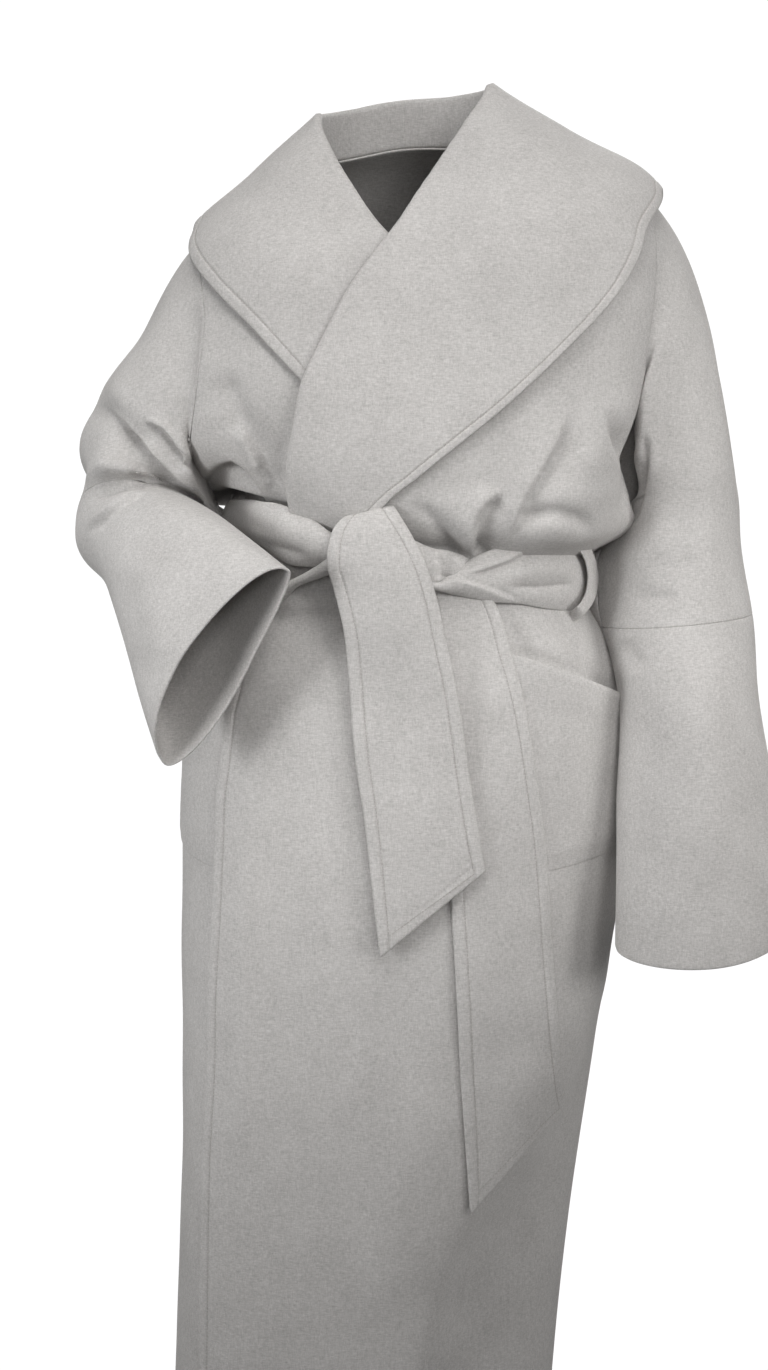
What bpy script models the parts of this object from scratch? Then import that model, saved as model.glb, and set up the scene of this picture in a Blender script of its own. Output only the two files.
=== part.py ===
"""Robe coat: a long wrap coat with a shawl collar, wide two-part sleeves, patch pockets
and a tie belt, in its worn hollow shape with the right sleeve bent. Metres, +Z up."""
import math

import bmesh
import bpy
import numpy as np

for old in list(bpy.data.objects):
    bpy.data.objects.remove(old, do_unlink=True)

# ---------------------------------------------------------------- sizes (metres)
# Frame: +X to the coat's own left, -Y to the front, +Z up; origin between the
# shoulders at the base of the neck, where the coat is held up.
WALL = 0.0025            # one layer of coating cloth
DOUBLE = 0.0045          # collar and belt: two layers pressed together
SEAM = 0.0003            # gap between neighbouring pieces
ARM_S0, ARM_S1 = 0.130, 0.372    # cloth distance from the neck: shoulder point, underarm
ARM_L = (20.0, 26.0)     # half opening of the left armhole, degrees: front, back
ARM_R = (25.0, 27.0)     # the same for the right armhole
LAP_CHEST = 0.0138       # left front over the right lapel
LAP_SKIRT = 0.0110       # left front over the right front, below the belt

# Body rings. s: cloth distance from the neck; (cx, cy) centre; a half width;
# bf, bb half depth to the front and back; n squareness; zs, zf, zb heights at the
# side, front and back; tilt: rise per metre towards +X; hike: extra rise on the right;
# full: extra radius where the cloth blouses over the belt, most on the left.
RING_COLS = ("s", "cx", "cy", "a", "bf", "bb", "n", "zs", "zf", "zb", "tilt", "hike", "full")
RINGS = (
    # neck
    (0.000, 0.010, 0.012, 0.080, 0.066, 0.060, 2.0, 0.020, -0.016, 0.030, 0.100, 0.000, 0.000),
    # middle of the shoulder
    (0.060, 0.016, 0.012, 0.140, 0.102, 0.098, 2.1, 0.000, -0.056, 0.004, 0.105, 0.000, 0.000),
    # shoulder point
    (0.130, 0.025, 0.010, 0.208, 0.132, 0.126, 2.3, -0.036, -0.104, -0.055, 0.107, 0.000, 0.000),
    # chest
    (0.220, 0.030, 0.008, 0.240, 0.148, 0.138, 2.5, -0.122, -0.168, -0.140, 0.080, 0.000, 0.000),
    # bust
    (0.300, 0.028, 0.006, 0.236, 0.156, 0.136, 2.5, -0.205, -0.232, -0.215, 0.045, 0.000, 0.000),
    # underarm
    (0.372, 0.027, 0.005, 0.218, 0.152, 0.131, 2.4, -0.276, -0.290, -0.280, 0.000, 0.003, 0.004),
    # fullness over the belt
    (0.420, 0.029, 0.004, 0.192, 0.139, 0.122, 2.3, -0.322, -0.328, -0.322, -0.070, 0.010, 0.016),
    # tucked in above the belt
    (0.454, 0.022, 0.003, 0.168, 0.126, 0.110, 2.2, -0.342, -0.345, -0.342, -0.135, 0.016, 0.000),
    # waist
    (0.484, 0.020, 0.003, 0.165, 0.123, 0.108, 2.2, -0.367, -0.368, -0.366, -0.145, 0.018, 0.000),
    # under the belt
    (0.514, 0.018, 0.003, 0.168, 0.125, 0.112, 2.2, -0.395, -0.395, -0.392, -0.135, 0.014, 0.000),
    # spring of the skirt
    (0.550, 0.015, 0.004, 0.186, 0.132, 0.128, 2.2, -0.430, -0.430, -0.426, -0.090, 0.006, 0.000),
    # high hip
    (0.600, 0.012, 0.006, 0.204, 0.141, 0.146, 2.3, -0.480, -0.480, -0.476, -0.050, 0.000, 0.000),
    # hip
    (0.700, 0.008, 0.008, 0.212, 0.147, 0.158, 2.4, -0.580, -0.580, -0.576, 0.000, 0.000, 0.000),
    # thigh
    (0.830, 0.003, 0.008, 0.210, 0.149, 0.157, 2.4, -0.710, -0.710, -0.706, 0.000, 0.000, 0.000),
    # knee
    (0.960, -0.004, 0.008, 0.203, 0.147, 0.150, 2.4, -0.840, -0.840, -0.836, 0.000, 0.000, 0.000),
    # calf
    (1.140, -0.018, 0.008, 0.193, 0.143, 0.144, 2.4, -1.020, -1.020, -1.016, 0.000, 0.000, 0.000),
    # hem
    (1.335, -0.031, 0.008, 0.187, 0.140, 0.141, 2.4, -1.215, -1.215, -1.211, 0.000, 0.000, 0.000),
)
HEM_S = RINGS[-1][0]
FULL_PHI = 100.0         # side on which the fullness is greatest

# Largest folds of the body: from (phi0, s0) to (phi1, s1), depth outwards (a trough is
# negative) and half width across.
FOLD_COLS = ("phi0", "s0", "phi1", "s1", "depth", "width")
FOLDS = (
    (62.0, 0.300, 34.0, 0.428, 0.009, 0.026),     # blousing, left front
    (78.0, 0.345, 57.0, 0.430, -0.008, 0.022),
    (-52.0, 0.315, -47.0, 0.430, -0.007, 0.022),  # drawn into the belt, right front
    (132.0, 0.250, 140.0, 0.430, 0.009, 0.030),   # blousing, back
    (162.0, 0.300, 164.0, 0.430, -0.007, 0.030),
    (214.0, 0.250, 208.0, 0.430, 0.009, 0.030),
    (44.0, 0.700, 30.0, 1.335, -0.006, 0.040),    # skirt, left front
    (68.0, 0.860, 60.0, 1.335, 0.007, 0.036),
    (112.0, 0.540, 108.0, 1.335, -0.009, 0.032),  # skirt, back
    (142.0, 0.530, 136.0, 1.335, 0.010, 0.034),
    (178.0, 0.530, 174.0, 1.335, -0.010, 0.036),
    (214.0, 0.530, 220.0, 1.335, 0.010, 0.034),
    (244.0, 0.540, 252.0, 1.335, -0.009, 0.032),
)
FOLD_RADIUS = 0.160      # turns degrees round the body into metres
FOLD_END = 0.070         # length over which a fold fades out

# Front edges, as the angle round the body at a cloth distance from the neck.
# 0 is the middle of the front, +90 the coat's own left. Down to the belt this is the
# roll line of the lapel, below it the free edge of the skirt.
EDGE_COLS = ("s", "phi")
EDGE_LEFT = (
    (0.000, 74.0), (0.011, 43.0), (0.028, 18.5), (0.075, -6.5), (0.158, -26.0),
    (0.227, -33.5), (0.272, -37.0), (0.317, -38.5), (0.364, -40.7), (0.404, -43.6),
    (0.470, -50.0), (0.530, -55.0), (0.606, -57.8), (0.669, -59.2), (0.828, -60.3),
    (1.056, -62.2), (1.335, -60.0),
)
EDGE_RIGHT = (
    (0.000, -80.0), (0.010, -67.0), (0.022, -51.0), (0.042, -29.5), (0.075, -13.5),
    (0.130, 4.0), (0.200, 18.0), (0.290, 27.0), (0.380, 30.0), (0.530, 34.0),
    (0.700, 38.0), (1.335, 38.0),
)

# Collar sections from the centre back to under the belt. phi_r, s_r: roll line on the
# panel below (phi_r only counts behind the neck, in front it is the panel's edge);
# h_r: height of the roll over the panel; phi_e, s_e, h_e: the same for the free edge.
COLLAR_COLS = ("phi_r", "s_r", "h_r", "phi_e", "s_e", "h_e")
COLLAR_LEFT = (
    (180.0, 0.000, 0.050, 180.0, 0.187, 0.008),   # centre back
    (150.0, 0.000, 0.051, 152.0, 0.186, 0.009),
    (112.0, 0.000, 0.056, 116.0, 0.171, 0.012),   # back of the shoulder
    (74.0, 0.000, 0.058, 88.0, 0.146, 0.017),     # side of the neck
    (43.0, 0.011, 0.045, 79.0, 0.154, 0.012),     # rounded corner
    (18.5, 0.028, 0.030, 68.1, 0.169, 0.008),
    (-6.5, 0.075, 0.018, 61.6, 0.193, 0.0085),
    (-26.0, 0.158, 0.010, 52.7, 0.224, 0.0085),
    (-33.5, 0.227, 0.0100, 39.5, 0.261, 0.0085),
    (-37.0, 0.272, 0.0100, 26.3, 0.296, 0.0085),
    (-38.5, 0.317, 0.0100, 11.1, 0.333, 0.0085),
    (-40.7, 0.364, 0.0100, -0.9, 0.363, 0.0085),
    (-43.6, 0.404, 0.0100, -13.5, 0.396, 0.0085),
    (-46.2, 0.432, 0.0095, -24.0, 0.430, 0.0085),   # at the belt
)
COLLAR_RIGHT = (
    (-180.0, 0.000, 0.050, -180.0, 0.187, 0.008),
    (-150.0, 0.000, 0.050, -152.0, 0.185, 0.009),
    (-114.0, 0.000, 0.049, -116.0, 0.164, 0.011),
    (-80.0, 0.000, 0.046, -90.0, 0.128, 0.014),
    (-67.0, 0.010, 0.042, -84.5, 0.139, 0.009),
    (-51.0, 0.022, 0.032, -71.1, 0.167, 0.0075),
    (-29.5, 0.042, 0.014, -63.7, 0.185, 0.0075),
    (-13.5, 0.075, 0.008, -55.0, 0.210, 0.0075),
    (4.0, 0.130, 0.008, -46.3, 0.240, 0.0075),
    (18.0, 0.200, 0.008, -37.8, 0.269, 0.0075),
    (27.0, 0.290, 0.008, -22.0, 0.318, 0.0075),
    (29.5, 0.365, 0.008, -2.0, 0.375, 0.0075),
    (30.5, 0.395, 0.008, 5.5, 0.394, 0.0075),
)

# Sleeve rings: centre, half axis towards the over-arm seam, half axis to the front.
SLEEVE_COLS = ("x", "y", "z", "sx", "sy", "sz", "fx", "fy", "fz")
SLEEVE_LEFT = (
    (0.291, 0.006, -0.305, 0.036, 0.000, 0.006, 0.002, -0.086, 0.004),   # below the underarm
    (0.279, -0.008, -0.365, 0.057, 0.004, 0.004, 0.002, -0.083, 0.002),
    (0.276, -0.030, -0.427, 0.068, 0.008, 0.006, 0.004, -0.076, 0.000),  # elbow seam
    (0.282, -0.062, -0.500, 0.066, 0.010, 0.003, 0.004, -0.070, -0.002),
    (0.288, -0.086, -0.600, 0.075, 0.010, 0.002, 0.004, -0.062, -0.005),
    (0.294, -0.110, -0.730, 0.083, 0.008, 0.005, 0.004, -0.056, -0.015),  # cuff
)
ELBOW_LEFT = 2
SLEEVE_RIGHT = (
    (-0.243, 0.008, -0.252, -0.040, 0.008, 0.050, 0.008, -0.086, 0.006),  # below the underarm
    (-0.251, 0.010, -0.292, -0.051, 0.020, 0.018, -0.006, -0.078, 0.018),
    (-0.247, -0.004, -0.326, -0.054, 0.028, -0.013, -0.026, -0.054, 0.030),  # elbow seam
    (-0.209, -0.098, -0.368, -0.054, 0.022, -0.038, -0.030, -0.034, 0.030),
    (-0.152, -0.200, -0.457, -0.057, 0.013, -0.088, -0.032, -0.024, 0.020),  # cuff
)
ELBOW_RIGHT = 2
# How far each ring reaches to the back, as a share of its reach to the front.
SLEEVE_BACK = {1: (1.0, 1.0, 1.0, 1.0, 1.0, 1.0), -1: (1.0, 1.0, 1.0, 0.78, 0.42)}
SHOULDER_FULL = {1: 1.0, -1: 0.66}   # roundness of the sleeve where it leaves the shoulder


# Largest folds of the sleeves: from (psi0, v0) to (psi1, v1) in sleeve coordinates, depth
# outwards and half width across.
SLEEVE_FOLD_COLS = ("psi0", "v0", "psi1", "v1", "depth", "width")
SLEEVE_FOLDS_LEFT = (
    (214.0, 1.10, 212.0, 2.05, 0.031, 0.036),     # fullness under the arm, towards the back
    (150.0, 0.55, 128.0, 1.60, 0.007, 0.026),     # below the armhole, front
)
SLEEVE_FOLDS_RIGHT = (
    (40.0, 0.95, 96.0, 1.65, 0.009, 0.024),       # over the bend of the arm
    (250.0, 0.80, 300.0, 1.50, 0.008, 0.026),     # behind the bend
    (204.0, 0.70, 210.0, 1.50, 0.030, 0.036),     # fullness under the arm
)
SLEEVE_RADIUS = 0.065    # turns degrees round the sleeve into metres


def table(rows, cols):
    return {c: np.array([row[i] for row in rows], float) for i, c in enumerate(cols)}


def through(x, y, q):
    """Smooth curve through the rows of a table column, with slopes that never overshoot."""
    x, y, q = np.asarray(x, float), np.asarray(y, float), np.asarray(q, float)
    h, d = np.diff(x), np.diff(y) / np.diff(x)
    m = np.empty_like(y)
    m[0], m[-1] = d[0], d[-1]
    w1, w2 = 2 * h[1:] + h[:-1], h[1:] + 2 * h[:-1]
    same = d[1:] * d[:-1] > 0
    with np.errstate(divide="ignore", invalid="ignore"):
        mean = (w1 + w2) / (w1 / d[:-1] + w2 / d[1:])
    m[1:-1] = np.where(same, mean, 0.0)
    q = np.clip(q, x[0], x[-1])
    i = np.clip(np.searchsorted(x, q, side="right") - 1, 0, len(h) - 1)
    t = (q - x[i]) / h[i]
    return (
        (2 * t**3 - 3 * t**2 + 1) * y[i]
        + (t**3 - 2 * t**2 + t) * h[i] * m[i]
        + (-2 * t**3 + 3 * t**2) * y[i + 1]
        + (t**3 - t**2) * h[i] * m[i + 1]
    )


def flow(x, y, q):
    """Curve through the rows with free slopes, for centre lines that may swing."""
    x, y, q = np.asarray(x, float), np.asarray(y, float), np.asarray(q, float)
    h, d = np.diff(x), np.diff(y) / np.diff(x)
    m = np.empty_like(y)
    m[1:-1] = (d[:-1] * h[1:] + d[1:] * h[:-1]) / (h[1:] + h[:-1])
    m[0], m[-1] = 1.5 * d[0] - 0.5 * m[1], 1.5 * d[-1] - 0.5 * m[-2]
    i = np.clip(np.searchsorted(x, q, side="right") - 1, 0, len(h) - 1)
    t = (q - x[i]) / h[i]
    return (
        (2 * t**3 - 3 * t**2 + 1) * y[i]
        + (t**3 - 2 * t**2 + t) * h[i] * m[i]
        + (-2 * t**3 + 3 * t**2) * y[i + 1]
        + (t**3 - t**2) * h[i] * m[i + 1]
    )


def ease(a, b, q):
    t = np.clip((np.asarray(q, float) - a) / (b - a), 0.0, 1.0)
    return t * t * (3 - 2 * t)


RING = table(RINGS, RING_COLS)
EDGE = {1: table(EDGE_LEFT, EDGE_COLS), -1: table(EDGE_RIGHT, EDGE_COLS)}
COLLAR = {1: table(COLLAR_LEFT, COLLAR_COLS), -1: table(COLLAR_RIGHT, COLLAR_COLS)}
SLEEVE = {1: table(SLEEVE_LEFT, SLEEVE_COLS), -1: table(SLEEVE_RIGHT, SLEEVE_COLS)}
ELBOW = {1: ELBOW_LEFT, -1: ELBOW_RIGHT}


def unit(v):
    return v / np.maximum(np.linalg.norm(v, axis=-1, keepdims=True), 1e-12)


FOLD = table(FOLDS, FOLD_COLS)
SLEEVE_FOLD = {1: table(SLEEVE_FOLDS_LEFT, SLEEVE_FOLD_COLS), -1: table(SLEEVE_FOLDS_RIGHT, SLEEVE_FOLD_COLS)}


def folds(fold, phi, s):
    """Height of the folds over the plain body."""
    turn = np.radians(1.0) * FOLD_RADIUS
    out = np.zeros(np.shape(phi))
    for p0, s0, p1, s1, depth, width in zip(*(fold[c] for c in FOLD_COLS)):
        ux, uy = (p1 - p0) * turn, s1 - s0
        length = math.hypot(ux, uy)
        ux, uy = ux / length, uy / length
        dx = ((phi - p0 + 180.0) % 360.0 - 180.0) * turn
        dy = s - s0
        along, across = dx * ux + dy * uy, dx * uy - dy * ux
        fade = ease(-0.3 * FOLD_END, 0.7 * FOLD_END, along) * (1 - ease(length - 0.7 * FOLD_END, length + 0.3 * FOLD_END, along))
        if s1 >= HEM_S:
            fade = ease(-0.3 * FOLD_END, 0.7 * FOLD_END, along)
        out = out + depth * fade * np.exp(-((across / width) ** 2))
    return out


def body(phi, s):
    """Point of the coat's outer surface at an angle round it and a distance down it."""
    phi, s = np.broadcast_arrays(np.asarray(phi, float), np.asarray(s, float))
    g = {c: flow(RING["s"], RING[c], s) for c in RING_COLS[1:]}
    sn, cs = np.sin(np.radians(phi)), np.cos(np.radians(phi))
    front = cs > 0
    b = np.where(front, g["bf"], g["bb"])
    r = ((np.abs(sn) / g["a"]) ** g["n"] + (np.abs(cs) / b) ** g["n"]) ** (-1 / g["n"])
    r = r + g["full"] * (0.5 + 0.5 * np.cos(np.radians(phi - FULL_PHI)))
    r = r + folds(FOLD, phi, s)
    x, y = r * sn, -r * cs
    z = g["zs"] * sn**2 + np.where(front, g["zf"], g["zb"]) * cs**2 + g["tilt"] * x
    z = z + g["hike"] * (np.clip(-x, 0, None) / g["a"]) ** 2
    return np.stack([g["cx"] + x, g["cy"] + y, z], -1)


def body_normal(phi, s):
    e = 0.5
    du = body(phi + e, s) - body(phi - e, s)
    s0, s1 = np.clip(s - 0.002, 0, HEM_S), np.clip(s + 0.002, 0, HEM_S)
    dv = body(phi, s1) - body(phi, s0)
    return unit(np.cross(dv, du))


def lap(phi, s):
    """How far the left front stands off the body where it wraps over the right."""
    full = LAP_SKIRT + (LAP_CHEST - LAP_SKIRT) * (1 - ease(0.40, 0.50, s))
    return full * (1 - ease(38.0, 82.0, phi)) * ease(0.0, 0.10, s)


def left_front(phi, s, lift=0.0):
    return body(phi, s) + body_normal(phi, s) * (lap(phi, s) + lift)[..., None]


def right_front(phi, s, lift=0.0):
    return body(phi, s) + body_normal(phi, s) * (np.zeros_like(phi * s) + lift)[..., None]


def armhole(side, psi):
    """Angle and distance of the armhole: psi 0 shoulder, 90 front, 180 underarm, 270 back."""
    front, back = ARM_L if side > 0 else ARM_R
    psi = np.radians(np.asarray(psi, float))
    half = np.where(np.sin(psi) >= 0, front, back)
    s = 0.5 * (ARM_S0 + ARM_S1) - 0.5 * (ARM_S1 - ARM_S0) * np.cos(psi)
    return side * (90.0 - half * np.sin(psi)), s


def side_edge(s, side, back=False):
    """Angle where a panel ends: side seam and shoulder seam at 90, armhole between."""
    half = (ARM_L if side > 0 else ARM_R)[1 if back else 0]
    t = np.clip((s - ARM_S0) / (ARM_S1 - ARM_S0), 0, 1) * 2 - 1
    open_ = half * np.sqrt(np.clip(1 - t * t, 0, 1))
    return side * (90.0 + (open_ if back else -open_))


def front_edge(side, s):
    return through(EDGE[side]["s"], EDGE[side]["phi"], s)


def lift_way(phi, s):
    """Way a collar stands off its panel: straight up at the neck, off the cloth below."""
    k = (1 - ease(0.0, 0.09, s))[..., None]
    return unit(body_normal(phi, s) * (1 - k) + np.array([0.0, 0.0, 1.0]) * k)


NECK_ROW = 3             # collar section at the side of the neck
ROLL = 0.0055            # radius of the roll


def collar(side, t, q):
    """Collar surface. t: section number from the centre back; q: 0 at the neck seam,
    up the stand and over the roll to 1 at the free edge."""
    c = COLLAR[side]
    t, q = np.broadcast_arrays(np.asarray(t, float), np.asarray(q, float))
    rows = np.arange(len(c["s_r"]), dtype=float)
    g = {k: flow(rows, c[k], t) for k in COLLAR_COLS}
    g["s_r"] = np.clip(through(rows, c["s_r"], t), 0, None)
    behind = t < NECK_ROW
    phi_r = np.where(behind, g["phi_r"], front_edge(side, g["s_r"]))
    top = np.maximum(g["h_r"], 0.0090)
    low = 0.0026
    q1, q2 = 0.18, 0.30
    width = 0.012 + 0.0 * q
    # position across (w) and height over the panel (h)
    stand = np.clip(q / q1, 0, 1)
    turn = np.clip((q - q1) / (q2 - q1), 0, 1)
    fall = np.clip((q - q2) / (1 - q2), 0, 1)
    P0 = body(phi_r, g["s_r"])
    P1 = body(g["phi_e"], g["s_e"])
    span = np.maximum(np.linalg.norm(P1 - P0, axis=-1), 0.02)
    wr = ROLL / span
    h_fall = g["h_e"] + (top - g["h_e"]) * (1 - fall) ** 2.4
    h = np.where(
        q < q1,
        low + (top - ROLL - low) * stand,
        np.where(q < q2, top - ROLL + ROLL * np.sin(0.5 * np.pi * turn), h_fall),
    )
    w = np.where(
        q < q1, 0.0, np.where(q < q2, wr * (1 - np.cos(0.5 * np.pi * turn)), wr + (1 - wr) * fall)
    )
    phi = phi_r + (g["phi_e"] - phi_r) * w
    s = g["s_r"] + (g["s_e"] - g["s_r"]) * w
    base = body(phi, s)
    if side > 0:
        base = base + body_normal(phi, s) * lap(phi, s)[..., None]
    return base + lift_way(phi, s) * h[..., None]


def sleeve_knots(side):
    c = SLEEVE[side]
    C = np.stack([c["x"], c["y"], c["z"]], -1)
    d = np.concatenate([[0.0], np.cumsum(np.linalg.norm(np.diff(C, axis=0), axis=1))])
    return d


def tube(side, d, psi):
    """Sleeve tube: d metres past its first ring."""
    c, k = SLEEVE[side], sleeve_knots(side)
    g = {n: flow(k, c[n], d) for n in SLEEVE_COLS}
    cs, sn = np.cos(np.radians(psi)), np.sin(np.radians(psi))
    sn = np.where(sn < 0, sn * flow(k, SLEEVE_BACK[side], d), sn)
    return np.stack(
        [g[a] + g["s" + a] * cs + g["f" + a] * sn for a in ("x", "y", "z")], -1
    )


def sleeve_folds(side, v, psi):
    """Height of the folds over the plain sleeve; none at the armhole and the cuff."""
    f = SLEEVE_FOLD[side]
    turn = np.radians(1.0) * SLEEVE_RADIUS
    out = np.zeros(np.shape(v))
    for p0, v0, p1, v1, depth, width in zip(*(f[c] for c in SLEEVE_FOLD_COLS)):
        ux, uy = (p1 - p0) * turn, (v1 - v0) * 0.1
        length = math.hypot(ux, uy)
        ux, uy = ux / length, uy / length
        dx = ((psi - p0 + 180.0) % 360.0 - 180.0) * turn
        dy = (v - v0) * 0.1
        along, across = dx * ux + dy * uy, dx * uy - dy * ux
        fade = ease(-0.03, 0.03, along) * (1 - ease(length - 0.03, length + 0.03, along))
        out = out + depth * fade * np.exp(-((across / width) ** 2))
    return out * ease(0.1, 0.7, v)


def sleeve(side, v, psi):
    """Sleeve surface. v: 0 at the armhole, 1 at the first ring, then 1 + metres / 0.1."""
    v, psi = np.broadcast_arrays(np.asarray(v, float), np.asarray(psi, float))
    d = np.clip(v - 1, 0, None) * 0.1
    ring = tube(side, d, psi)
    phi, s = armhole(side, psi)
    A = body(phi, s)
    e = 1.0
    pa, sa = armhole(side, psi - e)
    pb, sb = armhole(side, psi + e)
    along = unit(body(pb, sb) - body(pa, sa))
    out = unit(np.cross(body_normal(phi, s), along)) * side
    first = tube(side, np.zeros_like(d), psi)
    step = (tube(side, np.full_like(d, 0.01), psi) - first) / 0.01
    reach = np.linalg.norm(first - A, axis=-1, keepdims=True)
    k = np.clip(0.62 + 0.62 * np.cos(np.radians(psi)), 0, 1)[..., None]
    leave = unit(out * k + unit(first - A) * (1 - k) * 1.2)
    T0, T1 = leave * reach * SHOULDER_FULL[side], unit(step) * reach
    t = np.clip(v, 0, 1)[..., None]
    start = (
        (2 * t**3 - 3 * t**2 + 1) * A
        + (t**3 - 2 * t**2 + t) * T0
        + (-2 * t**3 + 3 * t**2) * first
        + (t**3 - t**2) * T1
    )
    P = np.where(v[..., None] < 1, start, ring)
    middle = np.stack([flow(sleeve_knots(side), SLEEVE[side][a], d) for a in ("x", "y", "z")], -1)
    return P + unit(P - middle) * sleeve_folds(side, v, psi)[..., None]


def elbow_v(side):
    return 1 + sleeve_knots(side)[ELBOW[side]] / 0.1


def cuff_v(side):
    return 1 + sleeve_knots(side)[-1] / 0.1


# ---------------------------------------------------------------- what lies on the panels
def front_at(x, z, lift=0.0):
    """Point of the left front seen at (x, z) from the front, moved out by lift."""
    x, z = np.broadcast_arrays(np.asarray(x, float), np.asarray(z, float))
    phi = np.degrees(np.arctan2(x - 0.01, 0.13))
    s = np.interp(-z, -RING["zf"], RING["s"])
    for _ in range(14):
        P = left_front(phi, s)
        A = (left_front(phi + 0.4, s) - P) / 0.4
        B = (left_front(phi, s + 0.002) - P) / 0.002
        ex, ez = x - P[..., 0], z - P[..., 2]
        det = A[..., 0] * B[..., 2] - B[..., 0] * A[..., 2]
        phi = np.clip(phi + np.clip((ex * B[..., 2] - B[..., 0] * ez) / det, -15, 15), -88, 88)
        s = np.clip(s + np.clip((A[..., 0] * ez - A[..., 2] * ex) / det, -0.05, 0.05), 0.02, HEM_S - 0.003)
    return left_front(phi, s, np.broadcast_to(np.asarray(lift, float), phi.shape))


# Belt: the band follows the waist; lift holds it clear of the lapel under it.
BELT_S = 0.487           # middle of the band down the cloth
BELT_HALF = 0.0225       # half its height as worn, folded lengthwise
BELT_GAP = (-22.0, 8.0)  # the knot hides the band between these angles


def belt_lift(phi):
    lapel = ease(-66.0, -54.0, phi) * (1 - ease(-20.0, 0.0, phi))
    return 0.0068 + 0.0110 * lapel + 0.004 * (ease(-40.0, -20.0, phi) * (1 - ease(10.0, 40.0, phi)))


def belt_band(phi, k):
    """Band surface; k from -1 at its lower edge to 1 at its upper edge."""
    phi, k = np.broadcast_arrays(np.asarray(phi, float), np.asarray(k, float))
    s = np.full_like(phi, BELT_S)
    way = unit(body_normal(phi, s) * np.array([1.0, 1.0, 0.0]))
    wrapped = (phi + 180.0) % 360.0 - 180.0
    P = body(phi, s) + way * (lap(wrapped, s) + belt_lift(wrapped) + DOUBLE)[..., None]
    lean = 0.009 * ease(-70.0, -50.0, wrapped) * (1 - ease(-20.0, 0.0, wrapped))
    P = P + way * (lean * np.clip(k, 0, 1))[..., None]
    P[..., 2] += k * BELT_HALF
    return P


# Belt ends. Rows down the strip: left and right edge as seen from the front, and how
# far the strip stands off the left front.
END_COLS = ("lx", "lz", "rx", "rz", "lift")
END_FRONT = (
    (-0.048, -0.331, 0.006, -0.329, 0.0250),
    (-0.050, -0.321, 0.007, -0.317, 0.0300),
    (-0.054, -0.320, 0.010, -0.316, 0.0385),   # over the top of the band
    (-0.060, -0.338, 0.016, -0.335, 0.0410),
    (-0.062, -0.372, 0.028, -0.370, 0.0385),
    (-0.054, -0.408, 0.040, -0.404, 0.0290),
    (-0.047, -0.445, 0.048, -0.438, 0.0200),
    (-0.036, -0.540, 0.064, -0.525, 0.0208),
    (-0.024, -0.640, 0.075, -0.600, 0.0206),
    (-0.014, -0.725, 0.082, -0.648, 0.0204),
)
END_BACK = (
    (0.012, -0.404, 0.089, -0.413, 0.0134),
    (0.016, -0.440, 0.104, -0.440, 0.0134),
    (0.026, -0.500, 0.119, -0.500, 0.0134),
    (0.038, -0.600, 0.134, -0.600, 0.0134),
    (0.050, -0.700, 0.144, -0.700, 0.0134),
    (0.058, -0.800, 0.152, -0.790, 0.0134),
    (0.065, -0.900, 0.157, -0.840, 0.0134),
    (0.072, -0.972, 0.159, -0.872, 0.0134),
)


def strip(rows, v, u):
    """Belt end: v along it from 0 to 1, u across it from its left edge to its right."""
    c = table(rows, END_COLS)
    v, u = np.broadcast_arrays(np.asarray(v, float), np.asarray(u, float))
    k = np.linspace(0, 1, len(rows))
    g = {n: flow(k, c[n], v) for n in END_COLS}
    x = g["lx"] + (g["rx"] - g["lx"]) * u
    z = g["lz"] + (g["rz"] - g["lz"]) * u
    return front_at(x, z, g["lift"])


# Patch pockets: angle of the inner and outer side, distances of the slanted mouth and foot.
POCKET = {"phi": {1: (33.0, 80.0), -1: (40.0, 83.0)}, "mouth": {1: (0.568, 0.624), -1: (0.577, 0.628)}, "foot": 0.782, "corner": 0.018}


def pocket(side, u, v):
    u, v = np.broadcast_arrays(np.asarray(u, float), np.asarray(v, float))
    p0, p1 = POCKET["phi"][side]
    phi = p0 + (p1 - p0) * u
    m0, m1 = POCKET["mouth"][side]
    top = m0 + (m1 - m0) * u**1.2
    foot = POCKET["foot"] - POCKET["corner"] * (np.abs(2 * u - 1) ** 6)
    s = top + (foot - top) * v
    lift = np.full_like(phi, 0.0028 + WALL)
    return left_front(phi, s, lift) if side > 0 else right_front(-phi, s, lift)


# Belt loops: a narrow strip over the band on each side.
LOOP_PHI = {1: 76.0, -1: -104.0}
LOOP_HALF = 0.0048       # half width
LOOP_TOP, LOOP_FOOT = 0.021, -0.034   # ends, from the middle of the band


def loop(side, v, u):
    """v from the top end to the lower end, u across from -1 to 1."""
    v, u = np.broadcast_arrays(np.asarray(v, float), np.asarray(u, float))
    phi = LOOP_PHI[side] + u * math.degrees(LOOP_HALF / 0.165)
    P = belt_band(phi, np.zeros_like(phi))
    way = unit(body_normal(phi, np.full_like(phi, BELT_S)) * np.array([1.0, 1.0, 0.0]))
    bow = np.sqrt(np.clip(1 - v**4.0, 0, 1))
    P = P + way * (-0.0035 + 0.0085 * bow)[..., None]
    P[..., 2] += LOOP_TOP + (LOOP_FOOT - LOOP_TOP) * v
    return P


# ---------------------------------------------------------------- modelling
PARTS = bpy.data.collections.new("robe_coat")
bpy.context.scene.collection.children.link(PARTS)
HOLDER = bpy.data.objects.new("held_at_neck", None)
PARTS.objects.link(HOLDER)

CLOTH = (0.510, 0.478, 0.442)       # light greige melange wool, linear


def cloth_material(name, shade=1.0, rough=0.92):
    mat = bpy.data.materials.new(name)
    mat.use_nodes = True
    bsdf = mat.node_tree.nodes["Principled BSDF"]
    bsdf.inputs["Base Color"].default_value = (*(c * shade for c in CLOTH), 1.0)
    bsdf.inputs["Roughness"].default_value = rough
    bsdf.inputs["Metallic"].default_value = 0.0
    return mat


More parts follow.
